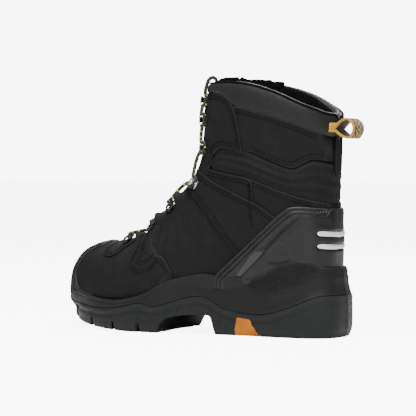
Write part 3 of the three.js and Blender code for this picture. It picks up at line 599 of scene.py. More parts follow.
def collar_look():
    tone = 0.0095
    look = Look("collar_synthetic", grey(tone), 0.48, specular=0.2)
    cloud = look.noise(30, 3)
    pores = look.cells(1.3)
    look.colour(look.ramp(cloud, (0.3, grey(tone * 0.85)), (0.7, grey(tone * 1.2))))
    look.rough(look.noise(3, 3), 0.3, 0.7, 0.46, 0.62)
    look.bump(pores, 0.1, 0.5)
    look.bump(look.noise(2.2, 4), 0.12, 0.5)
    return look.material


def mesh_look():
    look = Look("mesh_textile", grey(0.008), 0.95, specular=0.06)
    holes = look.cells(2.1)
    yarn = look.bands(0.7, "Z", distortion=0.6)
    pit = look.scale(holes, 0.12, 0.4)
    look.colour(look.blend(pit, look.ramp(yarn, (0.2, grey(0.006)), (0.8, grey(0.014))), grey(0.002)))
    look.bump(pit, 0.35, 0.8)
    look.bump(yarn, 0.12, 0.6)
    return look.material


def moulded_look(name, tone, blue, roughness, grain_mm=0.7, grain_depth=0.05, specular=0.2):
    look = Look(name, grey(tone, -blue), roughness, specular=specular)
    cloud = look.noise(35, 3)
    dust = look.noise(4, 5, 0.7)
    # painted highlight: sharp convex edges are lightened by pointiness, standing in for light catching them
    edge_highlight = look.scale(look.sharpness(), 0.51, 0.58, 0, 0.7)
    shade = look.ramp(cloud, (0.3, grey(tone * 0.88, -blue)), (0.7, grey(tone * 1.12, -blue)))
    look.colour(look.blend(edge_highlight, shade, grey(tone * 1.9, -blue)))
    look.rough(dust, 0.3, 0.7, roughness - 0.06, roughness + 0.09)
    look.bump(look.cells(grain_mm), grain_depth, 0.6)
    look.bump(look.noise(14, 2), 0.25, 0.3)
    return look.material


def orange_look():
    look = Look("orange_insert", (0.36, 0.11, 0.002), 0.45, specular=0.2)
    depth = look.noise(12, 3)
    look.colour(look.ramp(depth, (0.3, (0.28, 0.07, 0.0015)), (0.7, (0.42, 0.13, 0.002))))
    look.rough(look.noise(3, 3), 0.3, 0.7, 0.36, 0.55)
    look.bump(look.noise(2.5, 3), 0.12, 0.5)
    return look.material


def metal_look(name, tone, roughness, brushed_mm=0.3):
    look = Look(name, grey(tone), roughness, metallic=1.0)
    scratches = look.noise(brushed_mm, 4, 0.7)
    stain = look.noise(3.5, 3)
    look.colour(look.ramp(stain, (0.3, grey(tone * 0.8)), (0.7, grey(tone * 1.15))))
    look.rough(scratches, 0.3, 0.7, roughness * 0.75, roughness * 1.35)
    look.bump(scratches, 0.015, 0.5)
    return look.material


def silver_look():
    look = Look("reflective_silver", (0.75, 0.77, 0.79), 0.32, metallic=0.35, specular=0.6)
    beads = look.cells(0.6)
    look.colour(look.ramp(beads, (0.1, (0.86, 0.88, 0.9)), (0.6, (0.62, 0.65, 0.68))))
    look.rough(look.noise(2, 3), 0.3, 0.7, 0.25, 0.4)
    look.bump(beads, 0.04, 0.5)
    return look.material


def board_look():
    look = Look("fibre_board", (0.28, 0.2, 0.12), 0.9)
    fibres = look.noise(1.6, 5, 0.75)
    look.colour(look.ramp(fibres, (0.3, (0.2, 0.14, 0.08)), (0.7, (0.34, 0.25, 0.16))))
    look.bump(fibres, 0.1, 0.6)
    return look.material


def foam_look():
    look = Look("soft_foam", grey(0.05), 0.95, specular=0.2, sheen=0.3)
    weave = look.cells(1.6)
    shade = look.ramp(look.noise(18, 3), (0.3, grey(0.038)), (0.7, grey(0.062)))
    look.colour(look.blend(look.scale(weave, 0.1, 0.5), grey(0.02), shade))
    look.bump(weave, 0.25, 0.7)
    return look.material


def lace_look():
    """A round braid: crossing strands run along the lace, with a yellow tracer flecked in."""
    look = Look("lace_braid", grey(0.012), 0.72, specular=0.35, sheen=0.15)
    along, around, _ = look.split(look.uv)
    lean = look.math("MULTIPLY", along, 1 / 2.6)
    turn = 2 * math.pi
    first = look.math("SINE", look.math("MULTIPLY", look.math("ADD", lean, around), turn))
    second = look.math("SINE", look.math("MULTIPLY", look.math("SUBTRACT", lean, around), turn))
    strands = look.math("MULTIPLY", first, second)
    braid = look.scale(strands, -1, 1)
    spots = []
    for value, per_mm, share in ((along, 1 / 8.6, 0.1), (around, 0.5, 0.18)):
        cycle = look.math("FRACT", look.math("MULTIPLY", value, per_mm))
        from_middle = look.math("ABSOLUTE", look.math("SUBTRACT", cycle, 0.5))
        spots.append(look.math("LESS_THAN", from_middle, share))
    fleck = look.math("MULTIPLY", *spots)
    dark = look.ramp(braid, (0.1, grey(0.006)), (0.9, grey(0.02)))
    look.colour(look.blend(fleck, dark, (0.62, 0.55, 0.03)))
    look.bump(braid, 0.35, 0.8)
    look.bump(look.noise(0.25, 2), 0.05, 0.5)
    return look.material


def thread_look():
    look = Look("thread", grey(0.002), 0.75, specular=0.06)
    twist = look.bands(0.35, "DIAGONAL")
    look.colour(look.ramp(twist, (0.2, grey(0.0012)), (0.8, grey(0.004))))
    look.bump(twist, 0.08, 0.7)
    return look.material


def webbing_look():
    """Golden webbing with black blocks woven in; u runs along the loop and v across it."""
    look = Look("loop_webbing", (0.6, 0.38, 0.05), 0.75, specular=0.3, sheen=0.2)
    along, across, _ = look.split(look.uv)
    ribs = look.bands(0.9, "X", vector=look.uv)
    picks = look.bands(0.7, "Y", vector=look.uv)
    gold = look.ramp(ribs, (0.1, (0.28, 0.13, 0.004)), (0.8, (0.62, 0.34, 0.02)))
    black = look.ramp(ribs, (0.1, grey(0.006)), (0.8, grey(0.02)))
    middle = look.math("LESS_THAN", look.math("ABSOLUTE", across), 9.6)
    step = look.math("ADD", along, look.math("MULTIPLY", look.math("ABSOLUTE", across), 0.8))
    chevron = look.math("GREATER_THAN", look.math("FRACT", look.math("MULTIPLY", step, 1 / 5.0)), 0.62)
    inner = look.math("LESS_THAN", look.math("ABSOLUTE", across), 7.4)
    gold_part = look.math("MULTIPLY", chevron, inner)
    pattern = look.math("SUBTRACT", middle, gold_part)
    look.colour(look.blend(pattern, gold, black))
    look.bump(ribs, 0.2, 0.7)
    look.bump(picks, 0.12, 0.6)
    return look.material


def inner_webbing_look():
    look = Look("loop_inner", grey(0.012), 0.8, specular=0.3, sheen=0.2)
    _, across, _ = look.split(look.uv)
    ribs = look.bands(0.9, "X", vector=look.uv)
    edge = look.math("GREATER_THAN", look.math("ABSOLUTE", across), 9.2)
    gold = look.ramp(ribs, (0.1, (0.28, 0.13, 0.004)), (0.8, (0.62, 0.34, 0.02)))
    look.colour(look.blend(edge, look.ramp(ribs, (0.1, grey(0.006)), (0.8, grey(0.022))), gold))
    look.bump(ribs, 0.2, 0.7)
    return look.material


LOOKS = {
    "black_nubuck": nubuck_look("black_nubuck"),
    "collar_synthetic": collar_look(),
    "mesh_textile": mesh_look(),
    "midsole_polyurethane": moulded_look("midsole_polyurethane", 0.007, 0.03, 0.55, 0.8, 0.06),
    "outsole_rubber": moulded_look("outsole_rubber", 0.008, 0.08, 0.5, 1.0, 0.05),
    "counter_tpu": moulded_look("counter_tpu", 0.0075, 0.03, 0.4, 0.5, 0.02, specular=0.26),
    "orange_insert": orange_look(),
    "toe_steel": metal_look("toe_steel", 0.55, 0.35, 0.5),
    "gunmetal": metal_look("gunmetal", 0.035, 0.38),
    "bright_steel": metal_look("bright_steel", 0.62, 0.25),
    "reflective_silver": silver_look(),
    "fibre_board": board_look(),
    "soft_foam": foam_look(),
    "lace_braid": lace_look(),
    "aglet_plastic": moulded_look("aglet_plastic", 0.02, 0.0, 0.3, 0.4, 0.01),
    "loop_webbing": webbing_look(),
}
THREAD = thread_look()
WINDOW = moulded_look("counter_window", 0.014, 0.05, 0.3, 0.5, 0.008, specular=0.4)
INNER_WEBBING = inner_webbing_look()


def finish_piece(piece, slot, body="boot", replaces=(), look=None):
    """Give a piece its material, the look of its slot unless a look is given, and let it ride on its body.
    """
    piece.data.materials.clear()
    piece.data.materials.append(look or LOOKS[slot])
    if replaces:
        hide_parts(*replaces)
    if body:
        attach(piece, body)
    return piece


SLOT_OF = {row["node"]: row["material_slot"] for row in frame["record"]["subparts"]}
for node, slot_name in SLOT_OF.items():
    cad = frame["nodes"][node]
    for holder in cad.material_slots:
        holder.material = LOOKS[slot_name]
    if not cad.material_slots:
        cad.data.materials.append(LOOKS[slot_name])

# ------------------------------------------------------------------ outlines, in the side view
THROAT = catmull([
    (96, 0), (95, 9), (91, 14), (84, 15.7), (60, 16.2), (30, 17), (0, 19), (-20, 20), (-42, 20),
])
THROAT_CENTRE = np.array([
    (-42, 0), (5, 0.5), (15, 1.5), (27, 2.5), (50, 2.5), (73, 0.5), (96, -2.5),
], float)
VAMP_REAR = catmull([
    (14, 15), (17, 52), (23, 66), (30, 75), (36, 75.5), (42, 69), (52, 63.5), (60, 67), (58, 76),
    (57, 86), (60, 97), (62, 120),
])
QUARTER_REAR = catmull([
    (-84, 12), (-62, 62), (-49, 80), (-33, 99), (-16, 119), (7, 138.5), (24, 153), (60, 180),
])
REAR_QUARTER_TOP = catmull([
    (-170, 106), (-120, 107), (-100, 112), (-88, 119), (-72, 129), (-46, 140), (-19, 151), (-4, 158),
    (14, 167), (60, 190),
])
STRAP_TOP = catmull([(-72, 90), (-70, 120), (-70, 140), (-66, 152), (-42, 157), (-22, 160.5), (-8, 163)])
REAR_ANKLE_TOP = catmull([(-170, 127), (-134, 129.5), (-103, 139), (-71, 151), (-56, 155)])
FLEX_TOP = catmull([
    (-22, 155), (-19, 165), (-22, 175), (-33, 182.5), (-62, 180), (-85, 171), (-107, 162.5), (-117, 166),
    (-126, 170.5), (-138, 168), (-170, 160),
])
EYESTAY_EDGE = catmull([(-60, 176), (-55, 204), (-47, 225), (-36, 233), (-20, 235.5), (60, 238)])
UPPER_COLLAR_TOP = catmull([(-30, 222), (-51, 222), (-83, 214), (-112, 204), (-131, 195.5), (-175, 180)])
RIM_LINE = catmull([
    (60, 250), (-8, 246.5), (-25, 246), (-47, 246.5), (-64, 244.5), (-80, 240.5), (-98, 234), (-116, 225),
    (-128, 219.5), (-138, 214.5), (-175, 205),
])
BUMPER_REAR = catmull([
    (92, 20), (110, 33), (131, 41), (138, 52), (137, 63), (132, 73), (124, 79.5), (114, 84), (106, 100),
])
COUNTER_EDGE = catmull([(-24, 46), (-27, 58), (-46, 75), (-66, 92), (-85, 109), (-101, 122.5), (-110, 126),
                        (-122, 125.5), (-134, 124), (-172, 121)])
OUTSOLE_EDGE = catmull([
    (-165, 40.5), (-140, 41), (-128, 38.5), (-109, 30.5), (-87, 23.5), (-72, 21.5), (-55, 22.5),
    (-35, 26.5), (-24, 32.5), (-13, 36.5), (0, 36), (21, 30), (32, 26.8), (41, 25.8), (53, 29),
    (73, 24.5), (90, 22.5),
    (112, 23), (138, 26.5), (147, 30.5), (170, 38),
])
MIDSOLE_EDGE = catmull([
    (-165, 67), (-136, 68), (-128, 72.5), (-116, 74), (-96, 70), (-78, 61), (-66, 57.5), (-45, 57),
    (-27, 58), (-12, 59), (17, 53), (34, 46), (47, 38.5), (69, 32.5), (88, 31), (115, 34),
    (135, 38), (170, 44),
])
TREAD_LINE = np.array([
    (-160, 0), (70, 0), (90, 1.2), (112, 3.2), (130, 6), (142, 9), (152, 14), (162, 22),
], float)
HIDDEN = 46.0               # panels end this high, inside the sole


def height_on(line, x):
    """The height of a side-view line at each x."""
    line = np.asarray(line)
    order = np.argsort(line[:, 0])
    return np.interp(x, line[order, 0], line[order, 1])


def phi_at(u, y):
    """The left-hand phi where the body is y mm from its own centre line."""
    u, y = np.broadcast_arrays(np.asarray(u, float), np.asarray(y, float))
    low, high = np.zeros(u.shape), np.full(u.shape, math.pi / 2)
    centre = sections_at(u)[..., 5]
    for _ in range(26):
        middle = (low + high) / 2
        below = surface(u, middle)[..., 1] - centre < y
        low, high = np.where(below, middle, low), np.where(below, high, middle)
    return low


def throat_phi_table(side):
    """For a run of u, the phi of the throat's edge on one side (0 in front of the throat)."""
    us = np.linspace(0, LAST_SECTION, 561)
    phis = np.linspace(0, 1.3, 200)
    points = surface(us[:, None], side * phis[None, :])
    half = np.interp(points[..., 0], THROAT[::-1, 0], THROAT[::-1, 1], right=0)
    middle = np.interp(points[..., 0], THROAT_CENTRE[:, 0], THROAT_CENTRE[:, 1])
    outside = side * (points[..., 1] - middle) > half
    return us, np.where(outside.any(axis=1), phis[outside.argmax(axis=1)], phis[-1])


THROAT_PHI = {side: throat_phi_table(side) for side in (1, -1)}


def throat_phi(u, side=1):
    us, phis = THROAT_PHI[side]
    return np.interp(u, us, phis)


def trimmed(domain, closed=True, least=0.5):
    """Drops points that lie on top of the one before."""
    points = surface(domain[:, 0], domain[:, 1])
    keep = [0]
    for i in range(1, len(points)):
        if np.linalg.norm(points[i] - points[keep[-1]]) > least:
            keep.append(i)
    if closed and np.linalg.norm(points[keep[-1]] - points[0]) < least:
        keep.pop()
    return domain[keep]


def side_outline(line, side=1, spacing=2.0):
    """A closed side-view outline carried onto one side, cut off at the throat."""
    domain = locate(resample(line, spacing, closed=True))
    domain[:, 1] = np.maximum(domain[:, 1], throat_phi(domain[:, 0], side))
    domain = trimmed(domain)
    return domain if side == 1 else mirrored(domain)


def back_outline(top, bottom, spacing=2.0):
    """A band round the back: a top line and a bottom line, both from the front to the heel."""
    halves = []
    for line in (top, bottom):
        domain = locate(resample(line, spacing))
        ends = np.nonzero(domain[:, 1] > math.pi - 0.02)[0]
        domain = domain[:ends[0] + 1] if len(ends) else domain
        domain[:, 1] = np.maximum(domain[:, 1], throat_phi(domain[:, 0]))
        domain[-1, 1] = math.pi
        halves.append(trimmed(domain, closed=False))
    upper, lower = halves
    upper_far, lower_far = (np.stack([half[:, 0], 2 * math.pi - half[:, 1]], 1)[::-1][1:]
                            for half in halves)
    return trimmed(np.vstack([upper, upper_far, lower_far[::-1], lower[::-1]]))


def part_of(line, low, high):
    """The stretch of a line whose x lies between two values."""
    line = np.asarray(line)
    return line[(line[:, 0] >= low) & (line[:, 0] <= high)]


# ------------------------------------------------------------------ the leather's own unevenness
SEAM_ROWS = (2.5, 5.3)      # distances of the two stitch rows from an edge
SEAM_RINGS = (2.5, 3.9, 5.3, 7.2)
CREASES = [                 # side-view lines where the quarter creases as the foot bends
    ([(42, 106), (39, 96), (40, 80), (36, 68)], 1.6, 0.5),
    ([(32, 108), (30, 96), (31, 82), (27, 70)], 1.5, 0.4),
    ([(15, 116), (12, 104), (4, 94), (2, 84), (8, 79)], 1.5, 0.55),
    ([(2, 118), (-3, 106), (-10, 96), (-8, 84)], 1.4, 0.35),
    ([(76, 88), (80, 78), (78, 68)], 2.0, 0.3),
    ([(-38, 125), (-33, 116), (-27, 112)], 1.8, 0.4),
]


UNDER_COUNTER = 2.1         # the leather is pressed in this much under the heel counter
COUNTER_COVER = np.array([*COUNTER_EDGE, (-180, 50), (-60, 44)])


def signed_inside(side_view, polygon):
    """How far each point is inside a polygon, negative outside."""
    gap = distance_to_line(side_view, polygon, closed=True)
    return np.where(inside(side_view, polygon), gap, -gap)


def relief(points):
    """Gentle bulges and flex creases shared by every leather panel, so they stay stacked."""
    side_view = points[:, [0, 2]]
    total = 0.38 * ripple(points, 85) + 0.14 * ripple(points, 24, 1)
    covered = signed_inside(side_view, COUNTER_COVER)
    total -= UNDER_COUNTER * smooth(covered, 1.0, 4.5)
    for line, width, depth in CREASES:
        gap = distance_to_line(side_view, catmull(line, 4))
        beside_crease = (gap - 2.6 * width) / width
        total -= depth * np.exp(-((gap / width) ** 2)) - 0.5 * depth * np.exp(-(beside_crease ** 2))
    return total


def seam_profile(gap):
    """The leather beside a stitched edge: a raised edge, two sunk rows and a puffed middle."""
    raised_edge = 0.7 * (1 - smooth(gap, 3.0, 9.0))
    rows = sum(bump(gap, row, 0.8) for row in SEAM_ROWS)
    return raised_edge - 0.5 * rows


STITCH_LENGTH = 2.0
STITCH_PITCH = 2.9
STITCH_RADIUS = 0.56
BEAD_SIDES = 6


def beside(line, distance):
    """An open (u, phi) line moved to its left by a real distance."""
    flat = flatten(line)
    scale = domain_scale(line)
    tangent = np.gradient(flat, axis=0) * scale
    tangent /= np.linalg.norm(tangent, axis=1, keepdims=True) + 1e-9
    left = np.stack([-tangent[:, 1], tangent[:, 0]], 1)
    return (flat + left * distance / scale) / np.array([SECTION_STEP, TURN_RADIUS])


def stitches(name, rows, height, body="boot"):
    """Sewn thread: one small bead for every stitch along each (u, phi) row."""
    points, faces = [], []
    profile = [(-0.5, 0.05), (-0.36, 0.8), (0, 1), (0.36, 0.8), (0.5, 0.05)]
    for row in rows:
        base = surface(row[:, 0], row[:, 1])
        steps = np.concatenate([[0], np.cumsum(np.linalg.norm(np.diff(base, axis=0), axis=1))])
        centres = np.arange(STITCH_PITCH * 0.6, steps[-1] - STITCH_PITCH * 0.5, STITCH_PITCH)
        if not len(centres):
            continue
        u = np.interp(centres, steps, row[:, 0])
        phi = np.interp(centres, steps, row[:, 1])
        spots = surface(u, phi)
        out = normal(u, phi)
        lift = height(spots, np.stack([u, phi], 1))
        ahead = np.stack([np.interp(centres + 0.5, steps, base[:, k]) for k in range(3)], 1)
        behind = np.stack([np.interp(centres - 0.5, steps, base[:, k]) for k in range(3)], 1)
        along = ahead - behind
        along /= np.linalg.norm(along, axis=1, keepdims=True) + 1e-9
        across = np.cross(out, along)
        for p, n, t, b, h in zip(spots, out, along, across, lift):
            start = len(points)
            for at, size in profile:
                for k in range(BEAD_SIDES):
                    angle = 2 * math.pi * k / BEAD_SIDES
                    ring = b * math.cos(angle) * 1.15 + n * (math.sin(angle) * 0.9)
                    points.append(p + n * (h + 0.12) + t * at * STITCH_LENGTH + ring * STITCH_RADIUS * size)
            for r in range(len(profile) - 1):
                for k in range(BEAD_SIDES):
                    a = start + r * BEAD_SIDES + k
                    c = start + r * BEAD_SIDES + (k + 1) % BEAD_SIDES
                    faces.append([a, c, c + BEAD_SIDES, a + BEAD_SIDES])
            faces.append([start + k for k in range(BEAD_SIDES)])
            last = start + (len(profile) - 1) * BEAD_SIDES
            faces.append([last + k for k in range(BEAD_SIDES)][::-1])
    piece = make_object(name, np.array(points), faces)
    return finish_piece(piece, "lace_braid", body, look=THREAD)


def leather(name, outline, level, seams=(), extra=None, replaces=(), slot="black_nubuck",
            spacing=2.6, rows=True, thickness=1.9):
    """A leather panel at a level above the body, with its seams' rows sunk in and sewn."""
    seam_points = [surface(seam[:, 0], seam[:, 1]) for seam in seams]

    def height(points, domain):
        total = level + relief(points)
        if seam_points:
            gap = np.min([distance_to_line(points, line[::2]) for line in seam_points], axis=0)
            total = total + seam_profile(gap)
        if extra:
            total = total + extra(points, domain)
        return total

    piece = panel(name, outline, height, thickness, spacing, rings=SEAM_RINGS if seams else ())
    finish_piece(piece, slot, replaces=replaces)
    if seams and rows:
        lines = []
        flat_outline = flatten(outline)
        for seam in seams:
            for distance in SEAM_ROWS:
                for direction in (1, -1):
                    row = beside(seam, direction * distance)
                    within = inside(flatten(row), flat_outline)
                    scale = domain_scale(row).mean(axis=1)
                    gap = distance_to_line(flatten(row), flat_outline, closed=True) * scale
                    good = within & (gap > 0.7 * distance)
                    lines += runs(row, good)
        if lines:
            stitches(f"{name}_stitching", lines, height)
    return height


def runs(line, good, least=4):
    """The unbroken stretches of a line where good holds."""
    found, current = [], []
    for point, ok in zip(line, good):
        if ok:
            current.append(point)
        elif current:
            found.append(current)
            current = []
    if current:
        found.append(current)
    return [np.array(run) for run in found if len(run) >= least]


# ------------------------------------------------------------------ the upper
LEVELS = {
    "ankle_flex": 0.0, "quarter": 0.1, "rear_ankle_panel": 0.7, "ankle_strap": 1.3, "rear_quarter": 1.9,
    "upper_collar_panel": 1.0, "eyestay": 1.7, "vamp": 1.4, "lace_tab": 2.6, "back_tab": 2.2,
}


def seam_on(line, side=1, spacing=2.0):
    domain = locate(resample(line, spacing))
    good = (domain[:, 1] > throat_phi(domain[:, 0], side) + 0.02) & (domain[:, 1] < math.pi - 0.01)
    domain = trimmed(domain[good], closed=False)
    return domain if side == 1 else domain[::-1] * np.array([1, -1])


def both_seams(line, spacing=2.0):
    """A seam on the left, carried round the back to the right where it reaches the heel."""
    left = seam_on(line, 1, spacing)
    far = np.stack([left[:, 0], 2 * math.pi - left[:, 1]], 1)[::-1]
    return trimmed(np.vstack([left, far]), closed=False)


def flex_folds(points, domain):
    """The soft ankle panel: a puffed band with folds running along it, bending at the heel."""
    x, z = points[:, 0], points[:, 2]
    low = np.where(x < -66, height_on(REAR_ANKLE_TOP, x), height_on(STRAP_TOP[-18:], x))
    top = height_on(FLEX_TOP[12:], x)
    across = np.clip((z - low) / np.maximum(top - low, 4), 0, 1)
    puff = 1.5 * np.sin(math.pi * across) ** 0.7
    folds = 0.62 * np.sin(across * 2 * math.pi * 3.5 + 0.9 * np.sin(x / 17) + 0.6)
    fade = smooth(x, -150, -120) * 0.4 + 0.6
    return puff + folds * np.sin(math.pi * across) * fade


PUCKERS = ((6.12, 8.5), (7.2, 9.0), (8.1, 9.0))     # place along the throat and height


def throat_puckers(points, domain):
    """The quarter's front edge stands up between the lace rings, where the lace bunches it."""
    from_edge = TURN_RADIUS * (np.abs(domain[:, 1]) - throat_phi(domain[:, 0]))
    total = np.zeros(len(points))
    for place, rise in PUCKERS:
        total += rise * np.exp(-(((domain[:, 0] - place) / 0.2) ** 2))
    return total * (1 - smooth(from_edge, 1.0, 11.0))


def make_quarters(name, side):
    bottom = [(-95, HIDDEN), (72, 30)]
    rear = part_of(QUARTER_REAR, -70, 60) + np.array([-9, 0])
    outline = side_outline([*bottom, (72, 118), (60, 190), *rear[::-1]], side)
    leather(f"quarter_{name}", outline, LEVELS["quarter"], extra=throat_puckers, spacing=2.2,
            replaces=[f"quarter_{name}"])
    top = part_of(REAR_QUARTER_TOP, -170, 62)
    lower = [(62, 179), *part_of(QUARTER_REAR, -76, 58)[::-1], (-80, HIDDEN), (-176, HIDDEN)]
    outline = side_outline([*top, *lower], side)
    seams = [seam_on(top, side), seam_on(part_of(QUARTER_REAR, -62, 40), side)]
    leather(f"rear_quarter_{name}", outline, LEVELS["rear_quarter"], seams,
            replaces=[f"rear_quarter_{name}"])


def make_ankle(name, side):
    flex_side = [*FLEX_TOP[:-6], (-176, 158), (-176, 118), (-60, 118), (-14, 130)]
    leather(f"ankle_flex_{name}", side_outline(flex_side, side), LEVELS["ankle_flex"], extra=flex_folds,
            replaces=[f"ankle_flex_{name}"], spacing=2.0)
    strap = [*STRAP_TOP, (-6, 140), (-40, 122), (-66, 108)]
    seams = [seam_on(STRAP_TOP, side)]
    leather(f"ankle_strap_{name}", side_outline(strap, side), LEVELS["ankle_strap"], seams,
            replaces=[f"ankle_strap_{name}"])
    stay = [*EYESTAY_EDGE, (60, 150), (-4, 150), (-14, 157), (-19, 166), (-22, 175), (-33, 182),
            (-48, 180.5)]
    edge = seam_on(EYESTAY_EDGE[:-4], side)
    foot_line = [(-17, 160), (-20, 170), (-24, 178), (-35, 182.3), (-48, 180.5), (-60, 177)]
    foot = seam_on(catmull(foot_line), side)
    leather(f"eyestay_{name}", side_outline(stay, side), LEVELS["eyestay"], [edge, foot],
            replaces=[f"eyestay_{name}"])


def make_upper():
    for name, side in SIDES.items():
        make_quarters(name, side)
        make_ankle(name, side)
    low = [(-52, 100), (-175, 96)]
    top = part_of(REAR_ANKLE_TOP, -170, -56)[::-1]
    leather("rear_ankle_panel", back_outline(top, low), LEVELS["rear_ankle_panel"], [both_seams(top)],
            replaces=["rear_ankle_panel"])
    top = part_of(UPPER_COLLAR_TOP, -175, -38)
    low = np.array([(-38, 181), *FLEX_TOP[26:]])
    band = back_outline(top, low)
    seam_low = both_seams(part_of(FLEX_TOP[26:], -175, -50))
    seam_high = both_seams(part_of(UPPER_COLLAR_TOP, -175, -50))
    leather("upper_collar_panel", band, LEVELS["upper_collar_panel"], [seam_low, seam_high],
            replaces=["upper_collar_panel"])


def throat_outline():
    """The throat's edge as (u, phi), from the left at mid-foot round its front to the right."""
    us = np.arange(8.2, 4.2, -0.04)
    left = np.stack([us, throat_phi(us, 1)], 1)
    left = left[left[:, 1] > 0.01]
    right = np.stack([us, -throat_phi(us, -1)], 1)
    right = right[right[:, 1] < -0.01]
    return np.vstack([left, right[::-1]])


def make_vamp():
    rear = part_of(VAMP_REAR, 14, 62)
    left = locate(resample(rear, 2.0))
    left = left[left[:, 1] > throat_phi(left[:, 0])]
    floor_line = locate(resample([(165, 46), (150, 34), (120, 24), (60, 22), (17, 30)], 2.0))
    left = left[left[:, 0] > floor_line[-1, 0] - 0.2]
    start = left[-1, 0]
    throat = throat_outline()
    throat = throat[throat[:, 0] < start]
    toe = np.array([(0.35, phi) for phi in np.linspace(0.9, -0.9, 7)])
    below = floor_line[(floor_line[:, 0] > 0.5) & (floor_line[:, 1] < 2.4)]
    half = np.vstack([below, left])
    outline = trimmed(np.vstack([half, throat, mirrored(half), toe[::-1] * np.array([1, 1])]))
    seam = seam_on(rear)
    seams = [seam, seam[::-1] * np.array([1, -1])]
    leather("vamp", outline, LEVELS["vamp"], seams, replaces=["vamp"])


make_upper()
make_vamp()


# ------------------------------------------------------------------ overlays
TAB_HALF = catmull([
    (103, 0), (105, 14), (108, 24), (105, 33), (95, 37), (87, 35), (82, 29), (72, 25), (63, 24),
])
TAB_SHIFT = 2.0             # the lace tab sits this far towards the boot's right side
OVERLAY = 2.9               # how far the moulded overlays stand off the body


def find_plan(points):
    """(u, phi) on the top of the foot for plan-view points (x, y)."""
    points = np.asarray(points, float)
    us = np.linspace(2.5, 9.5, 150)
    phis = np.linspace(-1.4, 1.4, 141)
    grid = surface(us[:, None], phis[None, :])
    found = []
    for x, y in points:
        miss = (grid[..., 0] - x) ** 2 + (grid[..., 1] - y) ** 2
        i, j = np.unravel_index(miss.argmin(), miss.shape)
        found.append((us[i], phis[j]))
    return newton(np.array(found), points, [0, 1], 4, 0.04)


def make_lace_tab():
    """The tab in front of the laces, a rounded U round the throat's front end."""
    left = TAB_HALF - np.array([0, TAB_SHIFT])
    right = TAB_HALF * np.array([1, -1]) - np.array([0, TAB_SHIFT])
    outer = find_plan(resample(np.vstack([left[::-1], right[1:]]), 1.8))
    end_left, end_right = outer[0, 0], outer[-1, 0]
    throat = throat_outline()[::-1]
    throat = throat[throat[:, 0] < np.where(throat[:, 1] > 0, end_left, end_right)]
    outline = trimmed(np.vstack([outer, throat]))
    leather("lace_tab", outline, LEVELS["lace_tab"], [outer], replaces=["lace_tab"], spacing=2.0)


def bumper_height(points, domain):
    """A moulded toe bumper: a raised rear lip, a smooth band and fine ribs below it."""
    side_view = points[:, [0, 2]]
    gap = distance_to_line(side_view, BUMPER_REAR)
    lip = 1.1 * bump(gap, 2.4, 1.9) - 0.9 * bump(gap, 5.6, 1.0)
    ribs = 0.36 * np.sin(gap * 2 * math.pi / 2.6) * smooth(gap, 7.0, 9.0) * (1 - smooth(gap, 22, 27))
    return OVERLAY - 0.4 + lip + ribs - 0.5 * (1 - smooth(gap, 0, 1.5))


def make_bumper():
    rear = part_of(BUMPER_REAR, 108, 140)
    left = locate(resample(rear, 1.5))
    front_low = locate(resample([(160, 38), (152, 27), (130, 22), (108, 24)], 1.5))
    front_low = front_low[(front_low[:, 1] < 2.6) & (front_low[:, 0] > 0.3)]
    top = left[-1]
    bridge = np.array([(top[0] + 0.05 * k, top[1] * (1 - k / 10)) for k in range(1, 10)])
    nose = np.array([(0.0, phi) for phi in np.linspace(1.6, -1.6, 9)])
    half = np.vstack([front_low, left, bridge])
    outline = trimmed(np.vstack([half, mirrored(half), nose[::-1]]))
    piece = panel("toe_bumper", outline, bumper_height, 2.4, 1.3, rings=(2.0, 3.4))
    finish_piece(piece, "midsole_polyurethane", replaces=["toe_bumper"])
    make_bumper_tip()


TIP_SIDES = 28
TIP_RINGS = ((0.16, -0.5), (0.1, OVERLAY - 0.6), (0.03, OVERLAY - 0.1), (0.0, OVERLAY + 0.1))


def make_bumper_tip():
    """The round patch that closes the bumper at the very tip of the toe."""
    angles = np.linspace(0, 2 * math.pi, TIP_SIDES, endpoint=False)
    rings = []
    for u, height in TIP_RINGS:
        rings.append(list(raised(np.full(TIP_SIDES, u), angles, np.full(TIP_SIDES, height))))
    rim = rings[-1]
    centre = np.mean(rim, axis=0) + np.array([0.35, 0, 0])
    for share in (0.66, 0.33):
        crown = np.array([0.12 * (1 - share), 0, 0])
        rings.append([centre + (p - centre) * share + crown for p in rim])
    finish_piece(stacked("toe_bumper_tip", rings), "midsole_polyurethane")


COUNTER_RIDGES = (1.7, 5.3)     # two raised bands along the counter's edge, and their grooves
COUNTER_GROOVES = (3.4, 7.2)
COUNTER_RINGS = (1.2, 2.1, 2.8, 3.4, 4.0, 4.6, 5.3, 6.0, 6.7, 7.2, 7.7, 8.5, 9.5)
COUNTER_FIELD = 10.6            # the flat field starts this far in
WINDOW_OUTLINE = np.array([(-47.5, 58), (-55, 58), (-84, 84), (-69, 85)], float)
BAND_LINE = np.array([(-60, 56), (-122, 116)], float)    # the slanting band across the field
BAND_HALF_WIDTH = 5.2
REAR_WINDOW = catmull([
    (-84, 78), (-96, 91), (-103, 88), (-107, 79), (-105, 74), (-95, 71), (-86, 72),
], 4, closed=True)
UPPER_WINDOW = np.array([(-70, 86), (-83, 84.5), (-110, 111), (-97, 113), (-94, 108)], float)


